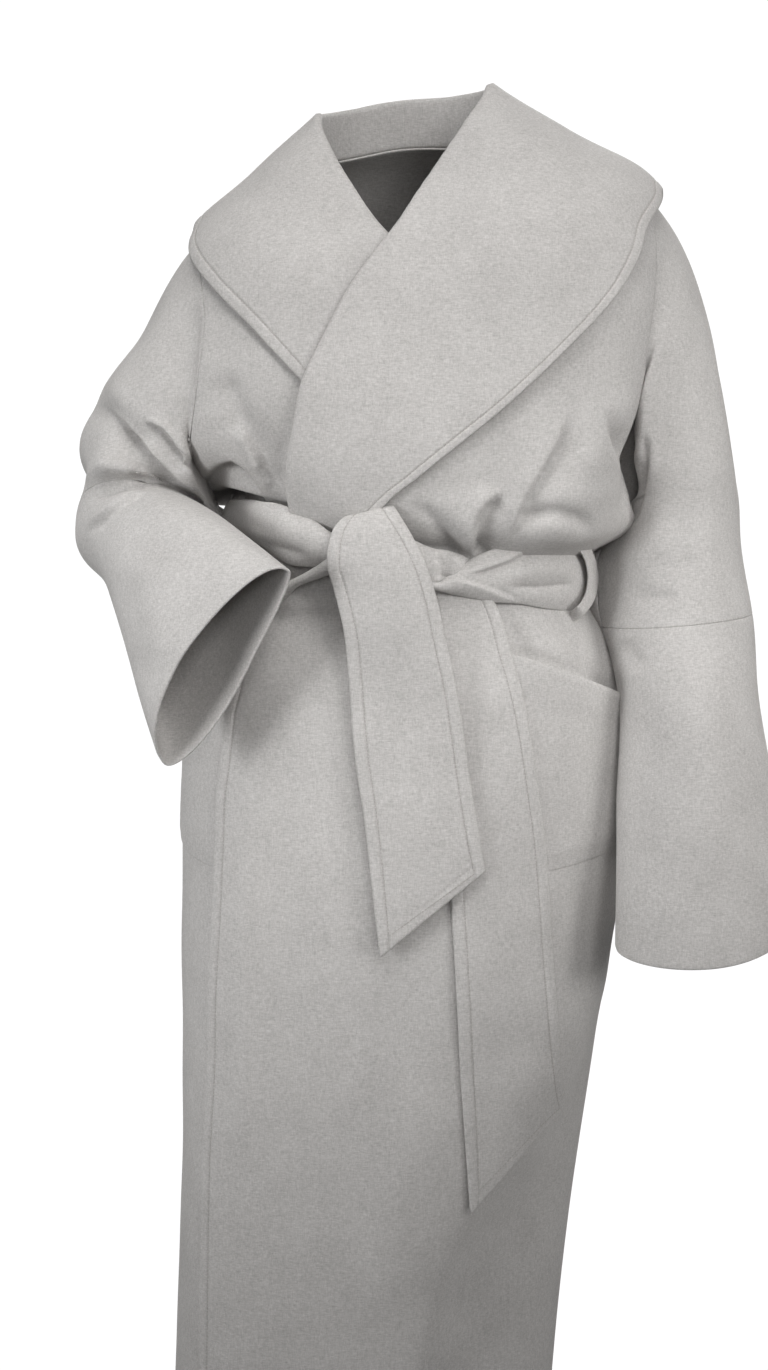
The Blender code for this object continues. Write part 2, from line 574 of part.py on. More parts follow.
COLLAR_STEPS = 16
PSI_RIM = 1.6            # degrees
PSI_FRONT = np.array([0.0, PSI_RIM] + list(np.linspace(0.0, 180.0, 8)[1:-1]) + [180.0 - PSI_RIM, 180.0])
ARM_ROWS = armhole(1, PSI_FRONT)[1]             # armhole rows and sleeve columns share these steps
RIM = 0.002              # narrow rim that squares the cut edge to the cloth


def with_rims(values, rim0, rim1):
    """The same steps with a narrow one added inside each end."""
    values = list(values)
    return np.array([values[0], values[0] + rim0] + values[1:-1] + [values[-1] - rim1, values[-1]])


def panel(name, points, outward, thickness, shade=1.0):
    """An open grid through the section points, given its thickness inwards."""
    nu, nv = points.shape[0], points.shape[1]
    bm = bmesh.new()
    bmesh.ops.create_grid(bm, x_segments=nu - 1, y_segments=nv - 1, size=0.5)
    for vert in bm.verts:
        i = int(round((vert.co.x + 0.5) * (nu - 1)))
        j = int(round((vert.co.y + 0.5) * (nv - 1)))
        vert.co = points[i, j]
    du = np.diff(points, axis=0)[:, :-1]
    dv = np.diff(points, axis=1)[:-1]
    facing = np.einsum("ijk,ijk->ij", np.cross(du, dv), outward[:-1, :-1]).sum()
    if facing < 0:
        bmesh.ops.reverse_faces(bm, faces=bm.faces)
    mesh = bpy.data.meshes.new(name)
    bm.to_mesh(mesh)
    bm.free()
    mesh.shade_smooth()
    mesh.set_sharp_from_angle(angle=math.radians(45))
    ob = bpy.data.objects.new(name, mesh)
    mesh.materials.append(cloth_material(name + "_cloth", shade))
    solid = ob.modifiers.new("thickness", "SOLIDIFY")
    solid.thickness = thickness
    solid.offset = -1.0
    solid.use_even_offset = False
    ob.parent = HOLDER
    PARTS.objects.link(ob)
    return ob


def grid(rows, cols):
    return np.meshgrid(np.asarray(rows, float), np.asarray(cols, float), indexing="ij")


# --- body panels: rows of cloth distance, columns from the side to the front edge
TOP_ROWS = [0.0, 0.012, 0.030, 0.075]
LOW_ROWS = [0.402, 0.432, 0.454, 0.514, 0.550, 0.610, 0.700, 0.830, 0.980, 1.150, HEM_S]
S_ROWS = with_rims(TOP_ROWS + list(ARM_ROWS) + LOW_ROWS, RIM, RIM)
SEAM_DEG = math.degrees(0.5 * SEAM / 0.165)

for side, name, steps in ((1, "front_left", 11), (-1, "front_right", 9)):
    S, U = grid(S_ROWS, with_rims(np.linspace(0, 1, steps), 0.008, 0.008))
    edge = front_edge(side, S)
    at_side = side_edge(S, side)
    seam = (S <= ARM_S0 + 1e-9) | (S >= ARM_S1 - 1e-9)
    at_side = at_side - side * np.where(seam, SEAM_DEG, 0.0)
    PHI = at_side + (edge - at_side) * U
    P = left_front(PHI, S) if side > 0 else right_front(PHI, S)
    panel(name, P, body_normal(PHI, S), WALL)

S, U = grid(S_ROWS, with_rims(np.linspace(0, 1, 16), 0.005, 0.005))
seam = np.where((S <= ARM_S0 + 1e-9) | (S >= ARM_S1 - 1e-9), SEAM_DEG, 0.0)
left = side_edge(S, 1, back=True) + seam
right = 360.0 + side_edge(S, -1, back=True) - seam
PHI = left + (right - left) * U
panel("back", right_front(PHI, S), body_normal(PHI, S), WALL, 0.97)

# --- collar halves
for side, name in ((1, "collar_left"), (-1, "collar_right")):
    last = len(COLLAR[side]["s_r"]) - 1
    t = np.concatenate([[0.020, 0.06], np.linspace(0.6, last - 0.6, 17), [last - 0.03, last]])
    q = np.array([0.0, 0.18, 0.24, 0.30, 0.46, 0.64, 0.83, 0.985, 1.0])
    T, Q = grid(t, q)
    P = collar(side, T, Q)
    core = 0.5 * (collar(side, T, np.zeros_like(Q)) + collar(side, T, np.full_like(Q, 0.6)))
    panel(name, P, P - core, DOUBLE, 1.03)

# --- sleeves
for side, word in ((1, "left"), (-1, "right")):
    elbow, cuff = elbow_v(side), cuff_v(side)
    for turn, half in ((0.0, "front"), (180.0, "back")):
        seam = 0.12 if side > 0 else 0.95
        psi = np.concatenate([[turn + seam], turn + PSI_FRONT[1:-1], [turn + 180.0 - seam]])
        rows = np.array([0.0, 0.02, 0.22, 0.50, 0.78] + list(np.linspace(1.0, elbow - 0.004, 3)))
        cut = 0.004 if side > 0 else 0.006
        rows = np.concatenate([rows[:-1], [elbow - 0.024, elbow - cut]])
        V, S_ = grid(rows, psi)
        reach = np.linalg.norm(sleeve(side, np.ones_like(V), S_) - sleeve(side, np.zeros_like(V), S_), axis=-1)
        gap = SEAM * (2.5 + 1.8 * (1 - np.cos(np.radians(S_))) + 2.8 * np.clip(np.sin(np.radians(S_)), 0, 1))
        V = np.where(V == 0.0, gap / np.maximum(reach, 0.03), np.where(V == 0.02, (gap + RIM) / np.maximum(reach, 0.03), V))
        P = sleeve(side, V, S_)
        core = 0.5 * (P + sleeve(side, V, S_ + 180.0))
        panel(f"sleeve_{word}_upper_{half}", P, P - core, WALL)
        rows = with_rims(np.linspace(elbow + cut, cuff, 5), 0.02, 0.02)
        V, S_ = grid(rows, psi)
        P = sleeve(side, V, S_)
        core = 0.5 * (P + sleeve(side, V, S_ + 180.0))
        panel(f"sleeve_{word}_lower_{half}", P, P - core, WALL)

# --- patch pockets
for side, name in ((1, "pocket_left"), (-1, "pocket_right")):
    U, V = grid(with_rims(np.linspace(0, 1, 6), 0.012, 0.012), with_rims(np.linspace(0, 1, 4), 0.012, 0.012))
    P = pocket(side, U, V)
    panel(name, P, P - np.array([0.0, 0.0, 1.0]) * P, WALL)

# --- belt
phi = with_rims(np.linspace(BELT_GAP[1], 360.0 + BELT_GAP[0], 30), 0.8, 0.8)
PH, K = grid(phi, [-1.0, 0.0, 1.0])
P = belt_band(PH, K)
panel("belt_band", P, P * np.array([1.0, 1.0, 0.0]), DOUBLE, 1.02)
for rows, name, steps in ((END_FRONT, "belt_end_front", 14), (END_BACK, "belt_end_back", 9)):
    V, U = grid(with_rims(np.linspace(0, 1, steps), 0.004, 0.004), with_rims(np.linspace(0, 1, 3), 0.02, 0.02))
    P = strip(rows, V, U)
    panel(name, P, np.broadcast_to(np.array([0.0, -1.0, 0.0]), P.shape), DOUBLE, 1.02)
for side, name in ((1, "belt_loop_left"), (-1, "belt_loop_right")):
    V, U = grid(with_rims(np.linspace(0, 1, 7), 0.02, 0.02), [-1.0, 1.0])
    P = loop(side, V, U)
    panel(name, P, P * np.array([1.0, 1.0, 0.0]), 0.002, 1.0)
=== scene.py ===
"""Looks of the robe coat: thin cloth shells on the coat's form, with creases, seams,
topstitching, the tied belt and a napped melange wool. Metres, +Z up."""
import math

import bpy
import numpy as np
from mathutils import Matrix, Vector


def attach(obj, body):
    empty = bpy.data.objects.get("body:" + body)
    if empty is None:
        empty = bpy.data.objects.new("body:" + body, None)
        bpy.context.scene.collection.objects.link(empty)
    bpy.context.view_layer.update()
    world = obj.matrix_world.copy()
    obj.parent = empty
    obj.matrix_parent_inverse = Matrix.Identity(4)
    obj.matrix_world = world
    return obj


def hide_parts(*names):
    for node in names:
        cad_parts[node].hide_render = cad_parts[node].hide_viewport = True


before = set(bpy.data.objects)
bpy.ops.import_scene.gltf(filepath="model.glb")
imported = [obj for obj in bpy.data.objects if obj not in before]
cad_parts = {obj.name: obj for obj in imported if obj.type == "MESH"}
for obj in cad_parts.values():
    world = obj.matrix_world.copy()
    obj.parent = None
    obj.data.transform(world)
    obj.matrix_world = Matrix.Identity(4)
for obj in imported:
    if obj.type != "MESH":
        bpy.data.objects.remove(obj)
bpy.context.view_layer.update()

# ---------------------------------------------------------------- sizes (metres)
# Frame: +X to the coat's own left, -Y to the front, +Z up; origin between the
# shoulders at the base of the neck, where the coat is held up.
WALL = 0.0025            # one layer of coating cloth
DOUBLE = 0.0045          # collar and belt: two layers pressed together
SEAM = 0.0003            # gap between neighbouring pieces
ARM_S0, ARM_S1 = 0.130, 0.372    # cloth distance from the neck: shoulder point, underarm
ARM_L = (20.0, 26.0)     # half opening of the left armhole, degrees: front, back
ARM_R = (25.0, 27.0)     # the same for the right armhole
LAP_CHEST = 0.0138       # left front over the right lapel
LAP_SKIRT = 0.0110       # left front over the right front, below the belt

# Body rings. s: cloth distance from the neck; (cx, cy) centre; a half width;
# bf, bb half depth to the front and back; n squareness; zs, zf, zb heights at the
# side, front and back; tilt: rise per metre towards +X; hike: extra rise on the right;
# full: extra radius where the cloth blouses over the belt, most on the left.
RING_COLS = ("s", "cx", "cy", "a", "bf", "bb", "n", "zs", "zf", "zb", "tilt", "hike", "full")
RINGS = (
    # neck
    (0.000, 0.010, 0.012, 0.080, 0.066, 0.060, 2.0, 0.020, -0.016, 0.030, 0.100, 0.000, 0.000),
    # middle of the shoulder
    (0.060, 0.016, 0.012, 0.140, 0.102, 0.098, 2.1, 0.000, -0.056, 0.004, 0.105, 0.000, 0.000),
    # shoulder point
    (0.130, 0.025, 0.010, 0.208, 0.132, 0.126, 2.3, -0.036, -0.104, -0.055, 0.107, 0.000, 0.000),
    # chest
    (0.220, 0.030, 0.008, 0.240, 0.148, 0.138, 2.5, -0.122, -0.168, -0.140, 0.080, 0.000, 0.000),
    # bust
    (0.300, 0.028, 0.006, 0.236, 0.156, 0.136, 2.5, -0.205, -0.232, -0.215, 0.045, 0.000, 0.000),
    # underarm
    (0.372, 0.027, 0.005, 0.218, 0.152, 0.131, 2.4, -0.276, -0.290, -0.280, 0.000, 0.003, 0.004),
    # fullness over the belt
    (0.420, 0.029, 0.004, 0.192, 0.139, 0.122, 2.3, -0.322, -0.328, -0.322, -0.070, 0.010, 0.016),
    # tucked in above the belt
    (0.454, 0.022, 0.003, 0.168, 0.126, 0.110, 2.2, -0.342, -0.345, -0.342, -0.135, 0.016, 0.000),
    # waist
    (0.484, 0.020, 0.003, 0.165, 0.123, 0.108, 2.2, -0.367, -0.368, -0.366, -0.145, 0.018, 0.000),
    # under the belt
    (0.514, 0.018, 0.003, 0.168, 0.125, 0.112, 2.2, -0.395, -0.395, -0.392, -0.135, 0.014, 0.000),
    # spring of the skirt
    (0.550, 0.015, 0.004, 0.186, 0.132, 0.128, 2.2, -0.430, -0.430, -0.426, -0.090, 0.006, 0.000),
    # high hip
    (0.600, 0.012, 0.006, 0.204, 0.141, 0.146, 2.3, -0.480, -0.480, -0.476, -0.050, 0.000, 0.000),
    # hip
    (0.700, 0.008, 0.008, 0.212, 0.147, 0.158, 2.4, -0.580, -0.580, -0.576, 0.000, 0.000, 0.000),
    # thigh
    (0.830, 0.003, 0.008, 0.210, 0.149, 0.157, 2.4, -0.710, -0.710, -0.706, 0.000, 0.000, 0.000),
    # knee
    (0.960, -0.004, 0.008, 0.203, 0.147, 0.150, 2.4, -0.840, -0.840, -0.836, 0.000, 0.000, 0.000),
    # calf
    (1.140, -0.018, 0.008, 0.193, 0.143, 0.144, 2.4, -1.020, -1.020, -1.016, 0.000, 0.000, 0.000),
    # hem
    (1.335, -0.031, 0.008, 0.187, 0.140, 0.141, 2.4, -1.215, -1.215, -1.211, 0.000, 0.000, 0.000),
)
HEM_S = RINGS[-1][0]
FULL_PHI = 100.0         # side on which the fullness is greatest

# Largest folds of the body: from (phi0, s0) to (phi1, s1), depth outwards (a trough is
# negative) and half width across.
FOLD_COLS = ("phi0", "s0", "phi1", "s1", "depth", "width")
FOLDS = (
    (62.0, 0.300, 34.0, 0.428, 0.009, 0.026),     # blousing, left front
    (78.0, 0.345, 57.0, 0.430, -0.008, 0.022),
    (-52.0, 0.315, -47.0, 0.430, -0.007, 0.022),  # drawn into the belt, right front
    (132.0, 0.250, 140.0, 0.430, 0.009, 0.030),   # blousing, back
    (162.0, 0.300, 164.0, 0.430, -0.007, 0.030),
    (214.0, 0.250, 208.0, 0.430, 0.009, 0.030),
    (44.0, 0.700, 30.0, 1.335, -0.006, 0.040),    # skirt, left front
    (68.0, 0.860, 60.0, 1.335, 0.007, 0.036),
    (112.0, 0.540, 108.0, 1.335, -0.009, 0.032),  # skirt, back
    (142.0, 0.530, 136.0, 1.335, 0.010, 0.034),
    (178.0, 0.530, 174.0, 1.335, -0.010, 0.036),
    (214.0, 0.530, 220.0, 1.335, 0.010, 0.034),
    (244.0, 0.540, 252.0, 1.335, -0.009, 0.032),
)
FOLD_RADIUS = 0.160      # turns degrees round the body into metres
FOLD_END = 0.070         # length over which a fold fades out

# Front edges, as the angle round the body at a cloth distance from the neck.
# 0 is the middle of the front, +90 the coat's own left. Down to the belt this is the
# roll line of the lapel, below it the free edge of the skirt.
EDGE_COLS = ("s", "phi")
EDGE_LEFT = (
    (0.000, 74.0), (0.011, 43.0), (0.028, 18.5), (0.075, -6.5), (0.158, -26.0),
    (0.227, -33.5), (0.272, -37.0), (0.317, -38.5), (0.364, -40.7), (0.404, -43.6),
    (0.470, -50.0), (0.530, -55.0), (0.606, -57.8), (0.669, -59.2), (0.828, -60.3),
    (1.056, -62.2), (1.335, -60.0),
)
EDGE_RIGHT = (
    (0.000, -80.0), (0.010, -67.0), (0.022, -51.0), (0.042, -29.5), (0.075, -13.5),
    (0.130, 4.0), (0.200, 18.0), (0.290, 27.0), (0.380, 30.0), (0.530, 34.0),
    (0.700, 38.0), (1.335, 38.0),
)

# Collar sections from the centre back to under the belt. phi_r, s_r: roll line on the
# panel below (phi_r only counts behind the neck, in front it is the panel's edge);
# h_r: height of the roll over the panel; phi_e, s_e, h_e: the same for the free edge.
COLLAR_COLS = ("phi_r", "s_r", "h_r", "phi_e", "s_e", "h_e")
COLLAR_LEFT = (
    (180.0, 0.000, 0.050, 180.0, 0.187, 0.008),   # centre back
    (150.0, 0.000, 0.051, 152.0, 0.186, 0.009),
    (112.0, 0.000, 0.056, 116.0, 0.171, 0.012),   # back of the shoulder
    (74.0, 0.000, 0.058, 88.0, 0.146, 0.017),     # side of the neck
    (43.0, 0.011, 0.045, 79.0, 0.154, 0.012),     # rounded corner
    (18.5, 0.028, 0.030, 68.1, 0.169, 0.008),
    (-6.5, 0.075, 0.018, 61.6, 0.193, 0.0085),
    (-26.0, 0.158, 0.010, 52.7, 0.224, 0.0085),
    (-33.5, 0.227, 0.0100, 39.5, 0.261, 0.0085),
    (-37.0, 0.272, 0.0100, 26.3, 0.296, 0.0085),
    (-38.5, 0.317, 0.0100, 11.1, 0.333, 0.0085),
    (-40.7, 0.364, 0.0100, -0.9, 0.363, 0.0085),
    (-43.6, 0.404, 0.0100, -13.5, 0.396, 0.0085),
    (-46.2, 0.432, 0.0095, -24.0, 0.430, 0.0085),   # at the belt
)
COLLAR_RIGHT = (
    (-180.0, 0.000, 0.050, -180.0, 0.187, 0.008),
    (-150.0, 0.000, 0.050, -152.0, 0.185, 0.009),
    (-114.0, 0.000, 0.049, -116.0, 0.164, 0.011),
    (-80.0, 0.000, 0.046, -90.0, 0.128, 0.014),
    (-67.0, 0.010, 0.042, -84.5, 0.139, 0.009),
    (-51.0, 0.022, 0.032, -71.1, 0.167, 0.0075),
    (-29.5, 0.042, 0.014, -63.7, 0.185, 0.0075),
    (-13.5, 0.075, 0.008, -55.0, 0.210, 0.0075),
    (4.0, 0.130, 0.008, -46.3, 0.240, 0.0075),
    (18.0, 0.200, 0.008, -37.8, 0.269, 0.0075),
    (27.0, 0.290, 0.008, -22.0, 0.318, 0.0075),
    (29.5, 0.365, 0.008, -2.0, 0.375, 0.0075),
    (30.5, 0.395, 0.008, 5.5, 0.394, 0.0075),
)

# Sleeve rings: centre, half axis towards the over-arm seam, half axis to the front.
SLEEVE_COLS = ("x", "y", "z", "sx", "sy", "sz", "fx", "fy", "fz")
SLEEVE_LEFT = (
    (0.291, 0.006, -0.305, 0.036, 0.000, 0.006, 0.002, -0.086, 0.004),   # below the underarm
    (0.279, -0.008, -0.365, 0.057, 0.004, 0.004, 0.002, -0.083, 0.002),
    (0.276, -0.030, -0.427, 0.068, 0.008, 0.006, 0.004, -0.076, 0.000),  # elbow seam
    (0.282, -0.062, -0.500, 0.066, 0.010, 0.003, 0.004, -0.070, -0.002),
    (0.288, -0.086, -0.600, 0.075, 0.010, 0.002, 0.004, -0.062, -0.005),
    (0.294, -0.110, -0.730, 0.083, 0.008, 0.005, 0.004, -0.056, -0.015),  # cuff
)
ELBOW_LEFT = 2
SLEEVE_RIGHT = (
    (-0.243, 0.008, -0.252, -0.040, 0.008, 0.050, 0.008, -0.086, 0.006),  # below the underarm
    (-0.251, 0.010, -0.292, -0.051, 0.020, 0.018, -0.006, -0.078, 0.018),
    (-0.247, -0.004, -0.326, -0.054, 0.028, -0.013, -0.026, -0.054, 0.030),  # elbow seam
    (-0.209, -0.098, -0.368, -0.054, 0.022, -0.038, -0.030, -0.034, 0.030),
    (-0.152, -0.200, -0.457, -0.057, 0.013, -0.088, -0.032, -0.024, 0.020),  # cuff
)
ELBOW_RIGHT = 2
# How far each ring reaches to the back, as a share of its reach to the front.
SLEEVE_BACK = {1: (1.0, 1.0, 1.0, 1.0, 1.0, 1.0), -1: (1.0, 1.0, 1.0, 0.78, 0.42)}
SHOULDER_FULL = {1: 1.0, -1: 0.66}   # roundness of the sleeve where it leaves the shoulder


# Largest folds of the sleeves: from (psi0, v0) to (psi1, v1) in sleeve coordinates, depth
# outwards and half width across.
SLEEVE_FOLD_COLS = ("psi0", "v0", "psi1", "v1", "depth", "width")
SLEEVE_FOLDS_LEFT = (
    (214.0, 1.10, 212.0, 2.05, 0.031, 0.036),     # fullness under the arm, towards the back
    (150.0, 0.55, 128.0, 1.60, 0.007, 0.026),     # below the armhole, front
)
SLEEVE_FOLDS_RIGHT = (
    (40.0, 0.95, 96.0, 1.65, 0.009, 0.024),       # over the bend of the arm
    (250.0, 0.80, 300.0, 1.50, 0.008, 0.026),     # behind the bend
    (204.0, 0.70, 210.0, 1.50, 0.030, 0.036),     # fullness under the arm
)
SLEEVE_RADIUS = 0.065    # turns degrees round the sleeve into metres


def table(rows, cols):
    return {c: np.array([row[i] for row in rows], float) for i, c in enumerate(cols)}


def through(x, y, q):
    """Smooth curve through the rows of a table column, with slopes that never overshoot."""
    x, y, q = np.asarray(x, float), np.asarray(y, float), np.asarray(q, float)
    h, d = np.diff(x), np.diff(y) / np.diff(x)
    m = np.empty_like(y)
    m[0], m[-1] = d[0], d[-1]
    w1, w2 = 2 * h[1:] + h[:-1], h[1:] + 2 * h[:-1]
    same = d[1:] * d[:-1] > 0
    with np.errstate(divide="ignore", invalid="ignore"):
        mean = (w1 + w2) / (w1 / d[:-1] + w2 / d[1:])
    m[1:-1] = np.where(same, mean, 0.0)
    q = np.clip(q, x[0], x[-1])
    i = np.clip(np.searchsorted(x, q, side="right") - 1, 0, len(h) - 1)
    t = (q - x[i]) / h[i]
    return (
        (2 * t**3 - 3 * t**2 + 1) * y[i]
        + (t**3 - 2 * t**2 + t) * h[i] * m[i]
        + (-2 * t**3 + 3 * t**2) * y[i + 1]
        + (t**3 - t**2) * h[i] * m[i + 1]
    )


def flow(x, y, q):
    """Curve through the rows with free slopes, for centre lines that may swing."""
    x, y, q = np.asarray(x, float), np.asarray(y, float), np.asarray(q, float)
    h, d = np.diff(x), np.diff(y) / np.diff(x)
    m = np.empty_like(y)
    m[1:-1] = (d[:-1] * h[1:] + d[1:] * h[:-1]) / (h[1:] + h[:-1])
    m[0], m[-1] = 1.5 * d[0] - 0.5 * m[1], 1.5 * d[-1] - 0.5 * m[-2]
    i = np.clip(np.searchsorted(x, q, side="right") - 1, 0, len(h) - 1)
    t = (q - x[i]) / h[i]
    return (
        (2 * t**3 - 3 * t**2 + 1) * y[i]
        + (t**3 - 2 * t**2 + t) * h[i] * m[i]
        + (-2 * t**3 + 3 * t**2) * y[i + 1]
        + (t**3 - t**2) * h[i] * m[i + 1]
    )


def ease(a, b, q):
    t = np.clip((np.asarray(q, float) - a) / (b - a), 0.0, 1.0)
    return t * t * (3 - 2 * t)


RING = table(RINGS, RING_COLS)
EDGE = {1: table(EDGE_LEFT, EDGE_COLS), -1: table(EDGE_RIGHT, EDGE_COLS)}
COLLAR = {1: table(COLLAR_LEFT, COLLAR_COLS), -1: table(COLLAR_RIGHT, COLLAR_COLS)}
SLEEVE = {1: table(SLEEVE_LEFT, SLEEVE_COLS), -1: table(SLEEVE_RIGHT, SLEEVE_COLS)}
ELBOW = {1: ELBOW_LEFT, -1: ELBOW_RIGHT}


def unit(v):
    return v / np.maximum(np.linalg.norm(v, axis=-1, keepdims=True), 1e-12)


FOLD = table(FOLDS, FOLD_COLS)
SLEEVE_FOLD = {1: table(SLEEVE_FOLDS_LEFT, SLEEVE_FOLD_COLS), -1: table(SLEEVE_FOLDS_RIGHT, SLEEVE_FOLD_COLS)}


def folds(fold, phi, s):
    """Height of the folds over the plain body."""
    turn = np.radians(1.0) * FOLD_RADIUS
    out = np.zeros(np.shape(phi))
    for p0, s0, p1, s1, depth, width in zip(*(fold[c] for c in FOLD_COLS)):
        ux, uy = (p1 - p0) * turn, s1 - s0
        length = math.hypot(ux, uy)
        ux, uy = ux / length, uy / length
        dx = ((phi - p0 + 180.0) % 360.0 - 180.0) * turn
        dy = s - s0
        along, across = dx * ux + dy * uy, dx * uy - dy * ux
        fade = ease(-0.3 * FOLD_END, 0.7 * FOLD_END, along) * (1 - ease(length - 0.7 * FOLD_END, length + 0.3 * FOLD_END, along))
        if s1 >= HEM_S:
            fade = ease(-0.3 * FOLD_END, 0.7 * FOLD_END, along)
        out = out + depth * fade * np.exp(-((across / width) ** 2))
    return out


def body(phi, s):
    """Point of the coat's outer surface at an angle round it and a distance down it."""
    phi, s = np.broadcast_arrays(np.asarray(phi, float), np.asarray(s, float))
    g = {c: flow(RING["s"], RING[c], s) for c in RING_COLS[1:]}
    sn, cs = np.sin(np.radians(phi)), np.cos(np.radians(phi))
    front = cs > 0
    b = np.where(front, g["bf"], g["bb"])
    r = ((np.abs(sn) / g["a"]) ** g["n"] + (np.abs(cs) / b) ** g["n"]) ** (-1 / g["n"])
    r = r + g["full"] * (0.5 + 0.5 * np.cos(np.radians(phi - FULL_PHI)))
    r = r + folds(FOLD, phi, s)
    x, y = r * sn, -r * cs
    z = g["zs"] * sn**2 + np.where(front, g["zf"], g["zb"]) * cs**2 + g["tilt"] * x
    z = z + g["hike"] * (np.clip(-x, 0, None) / g["a"]) ** 2
    return np.stack([g["cx"] + x, g["cy"] + y, z], -1)


def body_normal(phi, s):
    e = 0.5
    du = body(phi + e, s) - body(phi - e, s)
    s0, s1 = np.clip(s - 0.002, 0, HEM_S), np.clip(s + 0.002, 0, HEM_S)
    dv = body(phi, s1) - body(phi, s0)
    return unit(np.cross(dv, du))


def lap(phi, s):
    """How far the left front stands off the body where it wraps over the right."""
    full = LAP_SKIRT + (LAP_CHEST - LAP_SKIRT) * (1 - ease(0.40, 0.50, s))
    return full * (1 - ease(38.0, 82.0, phi)) * ease(0.0, 0.10, s)


def left_front(phi, s, lift=0.0):
    return body(phi, s) + body_normal(phi, s) * (lap(phi, s) + lift)[..., None]


def right_front(phi, s, lift=0.0):
    return body(phi, s) + body_normal(phi, s) * (np.zeros_like(phi * s) + lift)[..., None]


def armhole(side, psi):
    """Angle and distance of the armhole: psi 0 shoulder, 90 front, 180 underarm, 270 back."""
    front, back = ARM_L if side > 0 else ARM_R
    psi = np.radians(np.asarray(psi, float))
    half = np.where(np.sin(psi) >= 0, front, back)
    s = 0.5 * (ARM_S0 + ARM_S1) - 0.5 * (ARM_S1 - ARM_S0) * np.cos(psi)
    return side * (90.0 - half * np.sin(psi)), s


def side_edge(s, side, back=False):
    """Angle where a panel ends: side seam and shoulder seam at 90, armhole between."""
    half = (ARM_L if side > 0 else ARM_R)[1 if back else 0]
    t = np.clip((s - ARM_S0) / (ARM_S1 - ARM_S0), 0, 1) * 2 - 1
    open_ = half * np.sqrt(np.clip(1 - t * t, 0, 1))
    return side * (90.0 + (open_ if back else -open_))


def front_edge(side, s):
    return through(EDGE[side]["s"], EDGE[side]["phi"], s)


def lift_way(phi, s):
    """Way a collar stands off its panel: straight up at the neck, off the cloth below."""
    k = (1 - ease(0.0, 0.09, s))[..., None]
    return unit(body_normal(phi, s) * (1 - k) + np.array([0.0, 0.0, 1.0]) * k)


NECK_ROW = 3             # collar section at the side of the neck
ROLL = 0.0055            # radius of the roll


def collar(side, t, q):
    """Collar surface. t: section number from the centre back; q: 0 at the neck seam,
    up the stand and over the roll to 1 at the free edge."""
    c = COLLAR[side]
    t, q = np.broadcast_arrays(np.asarray(t, float), np.asarray(q, float))
    rows = np.arange(len(c["s_r"]), dtype=float)
    g = {k: flow(rows, c[k], t) for k in COLLAR_COLS}
    g["s_r"] = np.clip(through(rows, c["s_r"], t), 0, None)
    behind = t < NECK_ROW
    phi_r = np.where(behind, g["phi_r"], front_edge(side, g["s_r"]))
    top = np.maximum(g["h_r"], 0.0090)
    low = 0.0026
    q1, q2 = 0.18, 0.30
    width = 0.012 + 0.0 * q
    # position across (w) and height over the panel (h)
    stand = np.clip(q / q1, 0, 1)
    turn = np.clip((q - q1) / (q2 - q1), 0, 1)
    fall = np.clip((q - q2) / (1 - q2), 0, 1)
    P0 = body(phi_r, g["s_r"])
    P1 = body(g["phi_e"], g["s_e"])
    span = np.maximum(np.linalg.norm(P1 - P0, axis=-1), 0.02)
    wr = ROLL / span
    h_fall = g["h_e"] + (top - g["h_e"]) * (1 - fall) ** 2.4
    h = np.where(
        q < q1,
        low + (top - ROLL - low) * stand,
        np.where(q < q2, top - ROLL + ROLL * np.sin(0.5 * np.pi * turn), h_fall),
    )
    w = np.where(
        q < q1, 0.0, np.where(q < q2, wr * (1 - np.cos(0.5 * np.pi * turn)), wr + (1 - wr) * fall)
    )
    phi = phi_r + (g["phi_e"] - phi_r) * w
    s = g["s_r"] + (g["s_e"] - g["s_r"]) * w
    base = body(phi, s)
    if side > 0:
        base = base + body_normal(phi, s) * lap(phi, s)[..., None]
    return base + lift_way(phi, s) * h[..., None]


def sleeve_knots(side):
    c = SLEEVE[side]
    C = np.stack([c["x"], c["y"], c["z"]], -1)
    d = np.concatenate([[0.0], np.cumsum(np.linalg.norm(np.diff(C, axis=0), axis=1))])
    return d


def tube(side, d, psi):
    """Sleeve tube: d metres past its first ring."""
    c, k = SLEEVE[side], sleeve_knots(side)
    g = {n: flow(k, c[n], d) for n in SLEEVE_COLS}
    cs, sn = np.cos(np.radians(psi)), np.sin(np.radians(psi))
    sn = np.where(sn < 0, sn * flow(k, SLEEVE_BACK[side], d), sn)
    return np.stack(
        [g[a] + g["s" + a] * cs + g["f" + a] * sn for a in ("x", "y", "z")], -1
    )


def sleeve_folds(side, v, psi):
    """Height of the folds over the plain sleeve; none at the armhole and the cuff."""
    f = SLEEVE_FOLD[side]
    turn = np.radians(1.0) * SLEEVE_RADIUS
    out = np.zeros(np.shape(v))
    for p0, v0, p1, v1, depth, width in zip(*(f[c] for c in SLEEVE_FOLD_COLS)):
        ux, uy = (p1 - p0) * turn, (v1 - v0) * 0.1
        length = math.hypot(ux, uy)
        ux, uy = ux / length, uy / length
        dx = ((psi - p0 + 180.0) % 360.0 - 180.0) * turn
        dy = (v - v0) * 0.1
        along, across = dx * ux + dy * uy, dx * uy - dy * ux
        fade = ease(-0.03, 0.03, along) * (1 - ease(length - 0.03, length + 0.03, along))
        out = out + depth * fade * np.exp(-((across / width) ** 2))
    return out * ease(0.1, 0.7, v)


